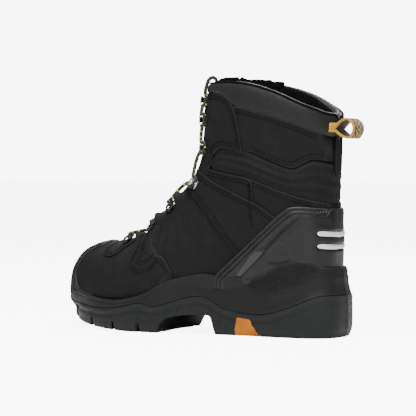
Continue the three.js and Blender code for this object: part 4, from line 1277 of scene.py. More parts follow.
def counter_height(points, domain):
    """The moulded heel counter: ribs along its edge, a slanting band and sunk windows."""
    side_view = points[:, [0, 2]]
    edge = distance_to_line(side_view, COUNTER_EDGE)
    total = np.full(len(points), OVERLAY)
    for ridge in COUNTER_RIDGES:
        total += 0.8 * bump(edge, ridge, 1.2)
    for groove in COUNTER_GROOVES:
        total -= 1.7 * bump(edge, groove, 0.55)
    field = smooth(edge, COUNTER_FIELD - 1.1, COUNTER_FIELD)
    total -= 0.7 * field
    band = distance_to_line(side_view, BAND_LINE)
    total += 0.85 * (1 - smooth(band, BAND_HALF_WIDTH - 0.8, BAND_HALF_WIDTH + 0.4)) * field
    for window, depth in ((WINDOW_OUTLINE, 1.1), (REAR_WINDOW, 0.9), (UPPER_WINDOW, 0.5)):
        total -= depth * smooth(signed_inside(side_view, window), -0.3, 0.9) * field
    for centre in STRIP_CENTRES.values():
        total -= 0.9 * smooth(signed_inside(side_view, strip_outline(centre, 1.2)), -0.3, 0.6)
    total += 0.12 * ripple(points, 60, 2)
    return total


STRIP_CENTRES = {"upper": 100.0, "lower": 88.0}
STRIP_FRONT = -131.0
STRIP_HALF_HEIGHT = 2.3
STRIP_SLOPE = -0.14


def strip_outline(centre, extra=0.0):
    """A reflective strip in the side view, rounded at its front, running back round the heel."""
    half = STRIP_HALF_HEIGHT + extra
    front = [(STRIP_FRONT + (half + 1.2) * math.cos(a) - 1.5, centre + half * math.sin(a))
             for a in np.linspace(math.pi / 2, -math.pi / 2, 9)]
    back = STRIP_SLOPE * (STRIP_FRONT + 172)
    return np.array([(-172, centre + back + half), *front, (-172, centre + back - half)])


WINDOW_DEPTH = 1.35             # the glossy window's face is this far under the overlay's
STRIP_DEPTH = 0.35


def window_height(points, _):
    return OVERLAY - WINDOW_DEPTH + 0.25 * bump(points[:, 0], -64, 12)


def strip_height(points, _):
    return np.full(len(points), OVERLAY - STRIP_DEPTH)


def make_counter():
    front = [(-24, 46), (-60, 44), (-172, 50)]
    outline = back_outline(COUNTER_EDGE, front, 1.6)
    piece = panel("heel_counter", outline, counter_height, 2.6, 1.1, rings=COUNTER_RINGS)
    finish_piece(piece, "counter_tpu", replaces=["heel_counter"])
    for name, side in SIDES.items():
        glass = side_outline(WINDOW_OUTLINE, side, 1.2)
        window = panel(f"counter_window_{name}", glass, window_height, 0.8, 1.6)
        finish_piece(window, "counter_tpu", look=WINDOW)
    for name, centre in STRIP_CENTRES.items():
        strip = strip_outline(centre)
        tip = len(strip) // 2
        outline = back_outline(strip[tip::-1], strip[tip:], 1.2)
        piece = panel(f"reflective_strip_{name}", outline, strip_height, 1.0, 1.2, edge_drop=0.5)
        finish_piece(piece, "reflective_silver", replaces=[f"reflective_strip_{name}"])


make_lace_tab()
make_bumper()
make_counter()


# ------------------------------------------------------------------ the sole
# x, left half width, right half width
SOLE_PLAN = np.array([
    (-150, 0, 0), (-145, 22, 22), (-130, 35, 35), (-110, 40, 40), (-80, 41, 40), (-50, 41, 38),
    (-20, 42, 37), (10, 47, 40), (40, 53, 46), (70, 54, 53), (100, 49, 55), (125, 38, 52),
    (145, 20, 43), (155, 4, 30), (159, -14, 14),
], float)
# how far the sole's wall leans in at each height
SOLE_WALL = np.array([
    (-2, 4), (2, 2.4), (6, 0.8), (12, 0), (30, 0), (46, 1.5), (60, 4), (75, 8), (95, 14),
], float)
BODY_CLEARANCE = 3.0            # the midsole's wall stays at least this far off the body
ARCH_VOID = catmull([
    (-25.5, 0), (-22.5, 14), (-19, 18.5), (-8, 19), (12, 17.5), (24, 14.5), (30, 9), (33.5, 0),
], 5)
ARCH_CORNERS = (-24.2, -23, 31.5, 32.6)    # more columns where the arch turns sharply
LUG_GAPS = (141, 112, 84, 54)
LUG_GAP_WIDTH = 4.0
LUG_GAP_HEIGHT = 8.5
HEEL_GAPS = (-100, -122)
SIDE_RIBS = (51, 38, 25, 12, -1, -33, -41)
INSERT_CORNERS = [(-46.5, 0.2), (-50, 19), (-64, 18), (-70, 8), (-74.5, 0.2)]
PAD_GROOVE = catmull([
    (-57, 53), (-61, 47.5), (-69, 43.8), (-81, 42), (-94, 43.3), (-109, 47.6), (-128, 54.7),
    (-140, 59.5), (-152, 60),
])
COLUMN_STEP = 1.7


def plan_outline():
    """The sole's outline seen from above, heel to toe along the right and back on the left."""
    left = catmull(SOLE_PLAN[:, [0, 1]], 8)
    right = catmull(SOLE_PLAN[:, [0, 2]] * np.array([1, -1]), 8)
    return resample(np.vstack([right, left[::-1][1:-1]]), 0.25, closed=True)


def sole_columns():
    """Places round the outline, with a pair at each edge of the tread's side notches."""
    line = plan_outline()
    count = len(line)
    picks = set(range(0, count, int(COLUMN_STEP / 0.25)))
    edges = [g + s * LUG_GAP_WIDTH / 2 for g in LUG_GAPS for s in (-1, 1)]
    edges += [ARCH_VOID[0, 0], ARCH_VOID[-1, 0], *ARCH_CORNERS]
    for edge in edges:
        crossing_at = np.nonzero((line[:, 0] - edge) * (np.roll(line[:, 0], -1) - edge) <= 0)[0]
        for index in crossing_at:
            picks.update({int(index) % count, int(index + 1) % count})
    order = np.array(sorted(picks))
    ahead, behind = np.roll(line, -8, axis=0), np.roll(line, 8, axis=0)
    tangent = ahead - behind
    tangent /= np.linalg.norm(tangent, axis=1, keepdims=True)
    inward = np.stack([-tangent[:, 1], tangent[:, 0]], 1)
    return line[order], inward[order]


def build_body_tree():
    us, phis = np.meshgrid(np.linspace(0.2, 12.2, 220), np.linspace(-math.pi, math.pi, 200, endpoint=False),
                           indexing="ij")
    points = raised(us, phis, np.full(us.shape, BODY_CLEARANCE)).reshape(-1, 3)
    normals = normal(us, phis).reshape(-1, 3)
    tree = kdtree.KDTree(len(points))
    for index, point in enumerate(points):
        tree.insert(point, index)
    tree.balance()
    return tree, normals


BODY_TREE, BODY_NORMALS = build_body_tree()


def clear_of_body(point, inward, depth):
    """How far in from the plan outline the wall can lie without touching the body's cover."""
    d = -6.0
    for _ in range(9):
        p = Vector((point[0] + inward[0] * d, point[1] + inward[1] * d, depth))
        near, index, _ = BODY_TREE.find(p)
        gap = (p - near).dot(Vector(BODY_NORMALS[index]))
        if gap < 0.08:
            break
        d += min(gap, 4.0)
    return d


WALL_CURVE = catmull(SOLE_WALL, 4)


def lean(z):
    return np.interp(z, WALL_CURVE[:, 0], WALL_CURVE[:, 1])


def half_widths(x):
    """The sole's left and right half widths."""
    return [np.interp(x, SOLE_PLAN[:, 0], SOLE_PLAN[:, side]) for side in (1, 2)]


def wall_ring(plan, inward, z, extra):
    """One ring of the sole's wall at heights z, moved in by extra."""
    d = np.array([min(float(lean(h)), clear_of_body(p, n, h)) for p, n, h in zip(plan, inward, z)])
    return np.column_stack([plan + inward * (d + extra)[:, None], z])


def tread_height(x):
    """The underside's height without its fine tread: toe spring, notches and arch."""
    base = np.interp(x, TREAD_LINE[:, 0], TREAD_LINE[:, 1])
    arch = np.interp(x, ARCH_VOID[:, 0], ARCH_VOID[:, 1], left=0, right=0)
    notch = np.zeros(np.shape(x))
    for gap in LUG_GAPS:
        notch = np.where(np.abs(x - gap) < LUG_GAP_WIDTH / 2 - 0.13, LUG_GAP_HEIGHT, notch)
    under_insert = np.where((x < -47) & (x > -74), 0.5, 0)
    return np.maximum(base + notch, arch) + under_insert


def wall_detail(x, z, split):
    """Relief on the outsole's side: ledge, ribs and heel scoop; positive goes inwards."""
    below = split - z
    shallow = smooth(below, 7.5, 8.5) * (1 - smooth(below, 12, 13))
    ledge = -0.9 * (1 - smooth(below, 4.0, 5.0)) - 0.35 * shallow
    ribs = sum(bump(x, rib + 0.12 * below, 0.9) for rib in SIDE_RIBS)
    return ledge + 0.8 * ribs * smooth(below, 4.5, 6.0)


def loft(rings):
    """Faces joining a stack of closed rings of points, top ring first."""
    count = len(rings[0])
    points = np.vstack(rings)
    faces = []
    for r in range(len(rings) - 1):
        for k in range(count):
            a, b = r * count + k, r * count + (k + 1) % count
            faces.append([a, a + count, b + count, b])
    return points, faces


# How far each ring of a top edge lies under the edge's height and in from the wall.
MIDSOLE_LIP = ((1.2, 4.2), (0.1, 2.3), (-0.25, 1.2), (0.1, 0.35), (1.0, 0.0))
MIDSOLE_ROWS = 17
OUTSOLE_LIP = ((0.5, 3.0), (0.15, 0.4), (0.5, -0.5))
OUTSOLE_ROWS = 15


def make_midsole():
    plan, inward = sole_columns()
    top = height_on(MIDSOLE_EDGE, plan[:, 0])
    split = height_on(OUTSOLE_EDGE, plan[:, 0])
    rings = []
    stipple = []

    def ring(z, extra):
        rings.append(wall_ring(plan, inward, z, extra))
        side_view = np.column_stack([plan[:, 0], z])
        above = z > height_on(PAD_GROOVE, plan[:, 0])
        stipple.append(np.where(above & (plan[:, 0] < -58) & (z < top - 1.5), 1.0, 0.0)
                       * smooth(distance_to_line(side_view, PAD_GROOVE), 0.6, 1.6))

    for drop, inset in MIDSOLE_LIP:
        ring(top - drop, inset)
    for k in range(MIDSOLE_ROWS):
        t = (k + 1) / MIDSOLE_ROWS
        z = top - 1.0 + (split + 0.4 - top + 1.0) * t
        x = plan[:, 0]
        side_view = np.column_stack([x, z])
        groove = bump(distance_to_line(side_view, PAD_GROOVE), 0, 0.95)
        shoulder = bump(top - z, 2.9, 0.8) * smooth(x, -40, -20)
        heel = smooth(-x, 70, 100)
        groove_z = height_on(PAD_GROOVE, x)
        under_groove = np.clip((groove_z - z) / np.maximum(groove_z - split, 3), 0, 1)
        cove = 1.3 * np.sin(math.pi * under_groove) * heel
        scoop = 0.9 * np.sin(math.pi * np.clip(t, 0, 1)) * (1 - heel) * smooth(top - split, 12, 26)
        ring(z, 1.0 * groove + 0.35 * shoulder + cove + scoop)
    ring(split - 0.2, 2.2)
    points, faces = loft(rings)
    piece = make_object("midsole", points, faces)
    layer = piece.data.attributes.new("stipple", "FLOAT", "POINT")
    layer.data.foreach_set("value", np.concatenate(stipple))
    piece.data.set_sharp_from_angle(angle=math.radians(50))
    finish_piece(piece, "midsole_polyurethane", replaces=["midsole"], look=midsole_look())


def midsole_look():
    """Moulded polyurethane; the attribute marks where its heel collar is stippled."""
    tone = 0.007
    look = Look("midsole_moulded", grey(tone), 0.52, specular=0.2)
    zone = look.node("ShaderNodeAttribute", attribute_name="stipple").outputs["Fac"]
    cloud = look.noise(35, 3)
    # painted highlight: sharp convex edges are lightened by pointiness, standing in for light catching them
    edge_highlight = look.scale(look.sharpness(), 0.51, 0.58, 0, 0.6)
    smooth_shade = look.ramp(cloud, (0.3, grey(tone * 0.85)), (0.7, grey(tone * 1.15)))
    pebble = look.cells(1.25)
    rough_shade = look.ramp(pebble, (0.1, grey(tone * 1.1)), (0.6, grey(tone * 0.5)))
    look.colour(look.blend(edge_highlight, look.blend(zone, smooth_shade, rough_shade), grey(tone * 2)))
    look.rough(look.math("ADD", look.noise(4, 4), look.math("MULTIPLY", zone, 0.5)), 0.3, 1.2, 0.46, 0.8)
    look.bump(look.math("MULTIPLY", pebble, zone), -0.5, 0.9)
    look.bump(look.cells(0.8), 0.05, 0.5)
    look.bump(look.noise(14, 2), 0.25, 0.3)
    return look.material


TREAD_STEP = 1.8


def tread_pattern(x, y):
    """Grooves moulded into the underside: chevron lugs in front, bars at the heel."""
    left, right = half_widths(x)
    middle = (left - right) / 2
    half = (left + right) / 2 + 1e-6
    off = (y - middle) / half
    forefoot = smooth(x, 34, 37)
    heel = smooth(-x, 26, 29) * (1 - smooth(-x, 136, 139))
    zigzag = middle + 3.5 * np.where((x / 14) % 1 < 0.5, 1, -1) * 0.9
    spine = 1 - smooth(np.abs(y - zigzag), 1.3, 2.4)
    chevron = (x + 8 * np.abs(off)) % 14.5
    bars = (1 - smooth(np.abs(chevron - 7), 1.2, 2.2)) * (1 - smooth(np.abs(off), 0.62, 0.7))
    ring_groove = 1 - smooth(np.abs(np.abs(off) - 0.70), 0.03, 0.06)
    heel_bars = np.zeros(np.shape(x))
    for gap in HEEL_GAPS + (-86, -36):
        heel_bars = np.maximum(heel_bars, 1 - smooth(np.abs(x - gap), 1.6, 2.4))
    heel_bars = heel_bars * (1 - smooth(np.abs(off), 0.62, 0.7))
    front = np.maximum(np.maximum(spine * (np.abs(off) < 0.7), bars), ring_groove) * forefoot * (x < 146)
    return 4.5 * np.maximum(front, np.maximum(heel_bars, ring_groove * (np.abs(x + 60) > 17)) * heel)


def make_outsole():
    plan, inward = sole_columns()
    x = plan[:, 0]
    split = height_on(OUTSOLE_EDGE, x)
    bottom = tread_height(x)
    levels = [(split - drop, inset) for drop, inset in OUTSOLE_LIP]
    for k in range(OUTSOLE_ROWS):
        t = ((k + 1) / OUTSOLE_ROWS) ** 0.9
        z = split - 1.0 + (bottom + 0.9 - split + 1.0) * t
        levels.append((z, wall_detail(x, z, split)))
    levels += [(bottom + 0.25, 0.15), (bottom, 0.7)]
    rings = [wall_ring(plan, inward, z, extra) for z, extra in levels]
    points, faces = loft(rings)
    rim = rings[-1]
    start = len(points) - len(rim)
    xs = np.arange(-149, 160, TREAD_STEP)
    ys = np.arange(-58, 58, TREAD_STEP)
    grid = np.array([(gx, gy) for gx in xs for gy in ys])
    grid = grid[inside(grid, rim[:, :2])]
    grid = grid[distance_to_line(grid, rim[:, :2], closed=True) > 1.0]
    flat = [Vector(p) for p in np.vstack([rim[:, :2], grid])]
    count = len(rim)
    border = [(i, (i + 1) % count) for i in range(count)]
    verts, _, tris, sources, _, _ = geometry.delaunay_2d_cdt(flat, border, [], 1, 1e-6)
    flat_out = np.array([tuple(v) for v in verts])
    z = tread_height(flat_out[:, 0])
    edge_gap = distance_to_line(flat_out, rim[:, :2], closed=True)
    z = z + tread_pattern(flat_out[:, 0], flat_out[:, 1]) * smooth(edge_gap, 2, 4) * (z < 9.5)
    index = {}
    extra = []
    for i, source in enumerate(sources):
        known = [s for s in source if s < count]
        if known:
            index[i] = start + known[0]
        else:
            index[i] = len(points) + len(extra)
            extra.append((flat_out[i, 0], flat_out[i, 1], z[i]))
    points = np.vstack([points, np.array(extra)])
    for tri in tris:
        a, b, c = (flat_out[k] for k in tri)
        area = (b[0] - a[0]) * (c[1] - a[1]) - (b[1] - a[1]) * (c[0] - a[0])
        face = [index[k] for k in tri]
        faces.append(face[::-1] if area > 0 else face)
    piece = make_object("outsole", points, faces)
    piece.data.set_sharp_from_angle(angle=math.radians(40))
    finish_piece(piece, "outsole_rubber", replaces=["outsole"])


def rounded(corners, radius=2.2, steps=5):
    """A closed polygon with its corners rounded off."""
    p = np.asarray(corners, float)
    line = []
    for before, corner, after in zip(np.roll(p, 1, axis=0), p, np.roll(p, -1, axis=0)):
        a = corner + (before - corner) / np.linalg.norm(before - corner) * radius
        b = corner + (after - corner) / np.linalg.norm(after - corner) * radius
        for t in np.linspace(0, 1, steps):
            line.append((1 - t) ** 2 * a + 2 * t * (1 - t) * corner + t * t * b)
    return np.array(line)


def shrunk(line, distance):
    """A closed 2-D outline moved inwards."""
    tangent = np.roll(line, -1, axis=0) - np.roll(line, 1, axis=0)
    tangent /= np.linalg.norm(tangent, axis=1, keepdims=True) + 1e-9
    area = np.sum(line[:, 0] * np.roll(line[:, 1], -1) - np.roll(line[:, 0], -1) * line[:, 1])
    return line + np.stack([-tangent[:, 1], tangent[:, 0]], 1) * distance * np.sign(area)


INSERT_PROUD = 0.55             # how far the insert's sides stand out of the sole's wall
INSERT_EDGE = ((5.5, -0.1), (2.6, 0.0), (1.3, 0.08), (0.5, 0.4), (0.0, 1.3))


def make_insert():
    """The orange shock block: one body through the heel, showing on both sides and below."""
    outline = resample(rounded(INSERT_CORNERS), 1.2, closed=True)
    stacks = []
    for side, width in zip((1, -1), half_widths(outline[:, 0])):
        stack = []
        for inset, drop in INSERT_EDGE:
            ring = shrunk(outline, inset)
            y = side * (width - lean(np.maximum(ring[:, 1], 0.5)) + INSERT_PROUD - drop)
            stack.append(np.column_stack([ring[:, 0], y, ring[:, 1]]))
        stacks.append(stack)
    points, faces = loft(stacks[0] + stacks[1][::-1])
    count = len(outline)
    faces.append(list(range(count)))
    faces.append(list(range(len(points) - count, len(points)))[::-1])
    centre = points.mean(axis=0)
    a, b, c = (points[faces[0][k]] for k in range(3))
    if np.dot(np.cross(b - a, c - a), (a - centre)) < 0:
        faces = [f[::-1] for f in faces]
    piece = make_object("heel_shock_insert", points, faces)
    piece.data.set_sharp_from_angle(angle=math.radians(55))
    finish_piece(piece, "orange_insert", replaces=["heel_shock_insert"])


make_midsole()
make_outsole()
make_insert()


# ------------------------------------------------------------------ lace fasteners
# kind, place along the body, distance from the throat's centre line, and what it stands on
ROWS = [
    ("ring", 5.45, 11.5, 2.0), ("ring", 6.72, 11.8, 0.0), ("ring", 7.62, 12.4, 0.0),
    ("hook", 8.95, 24.5, 0.0), ("hook", 10.45, 25.5, 0.0), ("hook", 11.7, 25.5, 0.0),
    ("hook", 12.62, 25.5, 0.0),
]
RING_BAR = 3.4
RING_WIRE = 1.2
LACE_RADIUS = 1.8
STAND_OFF = 1.3             # the leather's face is this far proud of the CAD body where fasteners sit


class Mount:
    """A fastener's own axes: inward to the throat, up the boot and out of the leather."""

    def __init__(self, u, y, side, lift):
        self.u, self.side = u, side
        self.phi = side * float(phi_at(u, y))
        self.out = normal(np.array([u]), np.array([self.phi]))[0]
        along = slopes(np.array([u]), np.array([self.phi]))[0][0]
        up = along - self.out * (along @ self.out)
        self.up = up / np.linalg.norm(up)
        self.inward = np.cross(self.out, self.up) * side
        self.origin = raised(np.array([u]), np.array([self.phi]), np.array([lift]))[0]

    def at(self, inward, up, out):
        return self.origin + self.inward * inward + self.up * up + self.out * out


MOUNTS = [{name: Mount(u, y, side, lift) for name, side in SIDES.items()} for _, u, y, lift in ROWS]


def sweep(route, radius, sides=12, closed=False):
    """A tube along a smooth route: points, faces and face-corner uv in mm along and 0 to 4 round."""
    route = np.asarray(route, float)
    if closed:
        tangent = np.roll(route, -1, axis=0) - np.roll(route, 1, axis=0)
    else:
        tangent = np.gradient(route, axis=0)
    tangent /= np.linalg.norm(tangent, axis=1, keepdims=True)
    side = np.cross(tangent[0], [0.13, 0.95, 0.3])
    side /= np.linalg.norm(side)
    rings = []
    for p, t in zip(route, tangent):
        side = side - t * (side @ t)
        side /= np.linalg.norm(side)
        other = np.cross(t, side)
        angles = 2 * math.pi * np.arange(sides) / sides
        rings.append(p + radius * (np.cos(angles)[:, None] * side + np.sin(angles)[:, None] * other))
    points = np.vstack(rings)
    steps = np.concatenate([[0], np.cumsum(np.linalg.norm(np.diff(route, axis=0), axis=1))])
    faces, corners = [], []
    for r in range(len(route) - 1 + int(closed)):
        for k in range(sides):
            a, b = r * sides + k, r * sides + (k + 1) % sides
            c, d = ((r + 1) % len(route)) * sides + (k + 1) % sides, ((r + 1) % len(route)) * sides + k
            faces.append([a, b, c, d])
            near = steps[r]
            far = steps[r + 1] if r + 1 < len(steps) else steps[r] + 1
            v0, v1 = 4 * k / sides, 4 * (k + 1) / sides
            corners += [(near, v0), (near, v1), (far, v1), (far, v0)]
    if not closed:
        faces.append(list(range(sides))[::-1])
        corners += [(0, 0)] * sides
        last = (len(route) - 1) * sides
        faces.append([last + k for k in range(sides)])
        corners += [(0, 0)] * sides
    return points, faces, corners


def corner_uv(piece, corners):
    layer = piece.data.uv_layers.new(name="mm")
    layer.data.foreach_set("uv", np.asarray(corners, float).ravel())


def plate(mount, inward_low, inward_high, half, low, high):
    """A rounded-corner plate with a small chamfer along its outer face."""
    def rim(inset, out):
        box_corners = [(inward_low + inset, -half + inset), (inward_high - inset, -half + inset),
                       (inward_high - inset, half - inset), (inward_low + inset, half - inset)]
        return [(x, y, out) for x, y in rounded(box_corners, 1.5, 4)]

    rings = [[mount.at(*p) for p in rim(*level)] for level in
             ((0.0, low), (0.0, high - 0.35), (0.35, high))]
    return stack_faces(rings)


def joined(parts):
    points, faces = [], []
    for more_points, more_faces in parts:
        start = len(points)
        points += list(more_points)
        faces += [[start + k for k in face] for face in more_faces]
    return np.array(points), faces


HOOK_CURL = [  # inward, out and half width of the hook's tongue, from its plate to its tip
    (-3.0, 1.0, 2.6), (0.4, 1.15, 2.9), (2.4, 1.5, 2.9), (3.4, 2.8, 2.8), (3.5, 4.4, 2.9), (2.6, 5.9, 3.3),
    (0.8, 6.7, 3.8), (-1.4, 6.9, 3.8), (-2.8, 7.1, 3.0), (-3.6, 7.5, 1.8),
]


HOOK_PROFILE = [  # across the hook's tongue, as shares of its half width and half thickness
    (-1, -0.45), (-0.88, -1), (0.88, -1), (1, -0.45), (1, 0.45), (0.88, 1), (-0.88, 1), (-1, 0.45),
]


def rivet(mount, centre, radius, levels):
    """A domed rivet head: each level is a share of the radius and a height."""
    angles = np.linspace(0, 5.76, 12)
    return stack_faces([[mount.at(centre + radius * r * math.cos(t), radius * r * math.sin(t), h)
                         for t in angles] for r, h in levels])


def hook_parts(mount):
    parts = [plate(mount, -5, 4.6, 4.5, -0.6, 1.2)]
    curl = catmull(HOOK_CURL, 3)
    tangent = np.gradient(curl[:, :2], axis=0)
    tangent /= np.linalg.norm(tangent, axis=1, keepdims=True)
    rings = []
    for (a, n, half), (ta, tn) in zip(curl, tangent):
        across = (-tn * 0.5, ta * 0.5)
        rings.append([mount.at(a + across[0] * s, half * w, n + across[1] * s)
                      for w, s in HOOK_PROFILE])
    parts.append(stack_faces(rings))
    parts.append(rivet(mount, -2.6, 1.5, ((1, 1.0), (0.95, 1.6), (0.6, 1.95))))
    return parts


def ring_parts(mount):
    parts = [plate(mount, -12, -3.6, 4.2, -0.6, 1.4)]
    half = [(-9, 3.2, 1.1), (-5.5, 4.6, 1.6), (-2, 5, 2.6), (1.2, 4.4, RING_BAR), (2, 2.6, RING_BAR)]
    wire = half + [(a, -b, c) for a, b, c in half[::-1]]
    route = catmull([mount.at(*p) for p in wire], 5)
    points, faces, _ = sweep(route, RING_WIRE, 10)
    parts.append((list(points), faces))
    parts.append(rivet(mount, -9.6, 1.4, ((1, 1.2), (0.95, 1.9), (0.6, 2.2))))
    return parts


def make_fasteners():
    first_hook = [kind for kind, *_ in ROWS].index("hook")
    for i, (kind, u, y, lift) in enumerate(ROWS):
        for name, side in SIDES.items():
            mount = Mount(u, y, side, lift + STAND_OFF)
            parts = hook_parts(mount) if kind == "hook" else ring_parts(mount)
            solids = []
            for points, faces in parts:
                points = np.array(points)
                solids.append((points, outward(points, faces)))
            points, faces = joined(solids)
            number = i - first_hook + 1 if kind == "hook" else i + 1
            node = f"lace_{kind}_{name}_{number}"
            piece = make_object(f"{node}_metal", points, faces)
            piece.data.set_sharp_from_angle(angle=math.radians(38))
            finish_piece(piece, SLOT_OF[node], replaces=[node])


# ------------------------------------------------------------------ lace
# Inward, up and out distances at each fastener, from the row below to the row above.
RING_TURN = [(7.5, -1.5, 0.0)] + [
    (2 - (RING_WIRE + LACE_RADIUS + 0.5) * math.cos(math.radians(a)), (i - 2) * 0.4,
     RING_BAR + (RING_WIRE + LACE_RADIUS + 0.5) * math.sin(math.radians(a)))
    for i, a in enumerate((-80, -40, 0, 40, 80))
] + [(7.5, 1.5, 6.2)]
HOOK_TURN = [
    (8, -6, 3.7), (2, -5.3, 3.6), (-0.9, -3.8, 3.6), (-1.1, 0, 3.6), (-0.9, 3.8, 3.6),
    (2, 5.3, 3.6), (8, 6, 4.3),
]
HIGH_CROSSING = 5.0
LOW_CROSSING = 0.6
TAB_OUT = 2.0
RIM_U = 13.42
POCKET_OFFSET = -4.7
POCKET = [
    (RIM_U - 0.42, 4.5), (RIM_U - 0.2, 4.4), (RIM_U + 0.08, 3.3), (RIM_U + 0.2, -0.4),
    (RIM_U + 0.08, -4.5), *((u, POCKET_OFFSET) for u in (13.1, 12.5, 12, 11.5, 11, 10.5)),
]
POCKET_TURN = 0.94              # the pocket's share of the last hook's turn round the shaft


def on_centre(u, height):
    return raised(np.array([u]), np.array([0.0]), np.array([height]))[0]


def lace_half(start):
    points, side = [], start
    for i, (kind, u, _, _) in enumerate(ROWS):
        turn = [MOUNTS[i][side].at(*p) for p in (RING_TURN if kind == "ring" else HOOK_TURN)]
        last = i == len(ROWS) - 1
        points += turn[1:] if i == 0 else turn[:-1] if last else turn
        if not last:
            height = HIGH_CROSSING if side == "left" else LOW_CROSSING
            points.append(on_centre((u + ROWS[i + 1][1]) / 2, height + (TAB_OUT / 2 if i == 0 else 0)))
            side = "right" if side == "left" else "left"
    end = MOUNTS[-1][side]
    phi = np.array([end.phi * POCKET_TURN])
    tucked = [raised(np.array([u]), phi, np.array([offset]))[0] for u, offset in POCKET]
    return points, tucked


def make_lace():
    left, left_tuck = lace_half("left")
    right, right_tuck = lace_half("right")
    bar = on_centre(ROWS[0][1], LOW_CROSSING + TAB_OUT - 0.4)
    points = left_tuck[::-1] + left[::-1] + [bar] + right + right_tuck
    route = resample(catmull(points, 6), 0.9)
    mesh_points, faces, corners = sweep(route, LACE_RADIUS, 14)
    piece = make_object("lace", mesh_points, faces)
    corner_uv(piece, corners)
    finish_piece(piece, "lace_braid", replaces=["lace"])


make_fasteners()
make_lace()


# ------------------------------------------------------------------ collar, lining and tongue
PAD_LOW = catmull([(60, 238), (-10, 236), (-24, 235.2), (-36, 232.5), (-44, 226), (-52, 221.5), (-83, 214),
                   (-112, 204), (-131, 195.5), (-175, 180)])
PAD_SECTION = [  # how far up from the pad's seam (0) to the rim (1), and how far off the body
    (-0.05, 0.9), (0.02, 1.7), (0.16, 2.9), (0.4, 3.4), (0.68, 3.0), (0.88, 1.9), (0.99, 0.2), (1.03, -2.2),
    (1.02, -5.0), (0.94, -7.4), (0.72, -9.2), (0.4, -9.6), (0.1, -8.6), (-0.12, -6.6),
    (-0.16, -4.0), (-0.12, -1.0),
]
FRONT_EDGE = 0.02


def line_over_phi(line):
    """A side-view line as u for each phi, front to back."""
    domain = locate(resample(line, 1.5))
    domain = domain[np.argsort(domain[:, 1])]
    domain = domain[domain[:, 1] > 0.06]
    return domain[:, 0], domain[:, 1]


PAD_LOW_U, PAD_LOW_PHI = line_over_phi(PAD_LOW)
RIM_U_LINE, RIM_PHI_LINE = line_over_phi(RIM_LINE)
RIM_SHARE = 0.97                # the piping and the lining's top edge lie this far up the pad


def folded(phi):
    """phi measured from the front on whichever side is nearer."""
    phi = np.mod(phi, 2 * math.pi)
    return np.minimum(phi, 2 * math.pi - phi)


def pad_u(phi, rise):
    """u at a share of the way from the pad's lower edge (0) to the rim (1)."""
    low = np.interp(folded(phi), PAD_LOW_PHI, PAD_LOW_U)
    rim = np.interp(folded(phi), RIM_PHI_LINE, RIM_U_LINE)
    return low + (rim - low) * rise


def pad_point(phi, rise, offset):
    return raised(pad_u(phi, rise), phi, offset)


def cushion(piece, voxel_mm, pressure, cap_mm, smooth_levels=1):
    """Pads a closed form: remesh, inflate as cloth with a capped movement, then subdivide."""
    def apply(kind, **values):
        modifier = piece.modifiers.new(kind.lower(), kind)
        for key, value in values.items():
            setattr(modifier, key, value)
        return modifier

    def bake():
        graph = bpy.context.evaluated_depsgraph_get()
        solved = bpy.data.meshes.new_from_object(piece.evaluated_get(graph))
        piece.modifiers.clear()
        old = piece.data
        piece.data = solved
        bpy.data.meshes.remove(old)

    apply("REMESH", mode="VOXEL", voxel_size=voxel_mm * MM)
    bake()
    before = np.array([v.co for v in piece.data.vertices])
    cloth = apply("CLOTH")
    settings = cloth.settings
    settings.use_pressure = True
    settings.uniform_pressure_force = pressure
    settings.effector_weights.gravity = 0
    settings.quality = 5
    settings.mass = 0.3
    scene = bpy.context.scene
    for step in range(1, 21):
        scene.frame_set(step)
    bake()
    scene.frame_set(1)
    after = np.array([v.co for v in piece.data.vertices])
    moved = after - before
    far = np.linalg.norm(moved, axis=1, keepdims=True)
    after = before + moved * np.minimum(1, cap_mm * MM / np.maximum(far, 1e-9))
    piece.data.vertices.foreach_set("co", after.ravel())
    apply("SUBSURF", levels=smooth_levels, render_levels=smooth_levels)
    bake()
    piece.data.polygons.foreach_set("use_smooth", [True] * len(piece.data.polygons))
    return piece


PAD_RINGS = 150


def make_collar():
    start = float(throat_phi(13.2)) + FRONT_EDGE
    phis = np.linspace(start, 2 * math.pi - start, PAD_RINGS)
    section = catmull(PAD_SECTION, 2, closed=True)
    rings = []
    for k, phi in enumerate(phis):
        near_end = min(k, len(phis) - 1 - k)
        puff = min(1.0, 0.72 + 0.07 * near_end)
        middle = np.array([0.45, -3.0])
        shape = middle + (section - middle) * np.array([1, puff])
        rings.append(pad_point(np.full(len(shape), phi), shape[:, 0], shape[:, 1]))
    piece = stacked("collar_pad", rings)
    cushion(piece, 2.6, 1.2, 1.2)
    finish_piece(piece, "collar_synthetic", replaces=["collar_pad"])
    rim = pad_point(phis, RIM_SHARE, np.full(len(phis), 1.2))
    points, faces, corners = sweep(resample(rim, 2.0), 0.85, 8)
    piping = make_object("collar_piping", points, faces)
    corner_uv(piping, corners)
    finish_piece(piping, "black_nubuck", look=THREAD)


LINING_FLOOR = 2.6
LINING_COLUMNS = 130
LINING_DEPTH = -8.2             # the sheet lies this far inside the body's surface
LINING_GAP = 0.03               # and its edges this far from the throat's


def round_from(start):
    """Angles round the boot from one edge of the throat to the other."""
    return start + (2 * math.pi - 2 * start) * np.linspace(0, 1, LINING_COLUMNS)


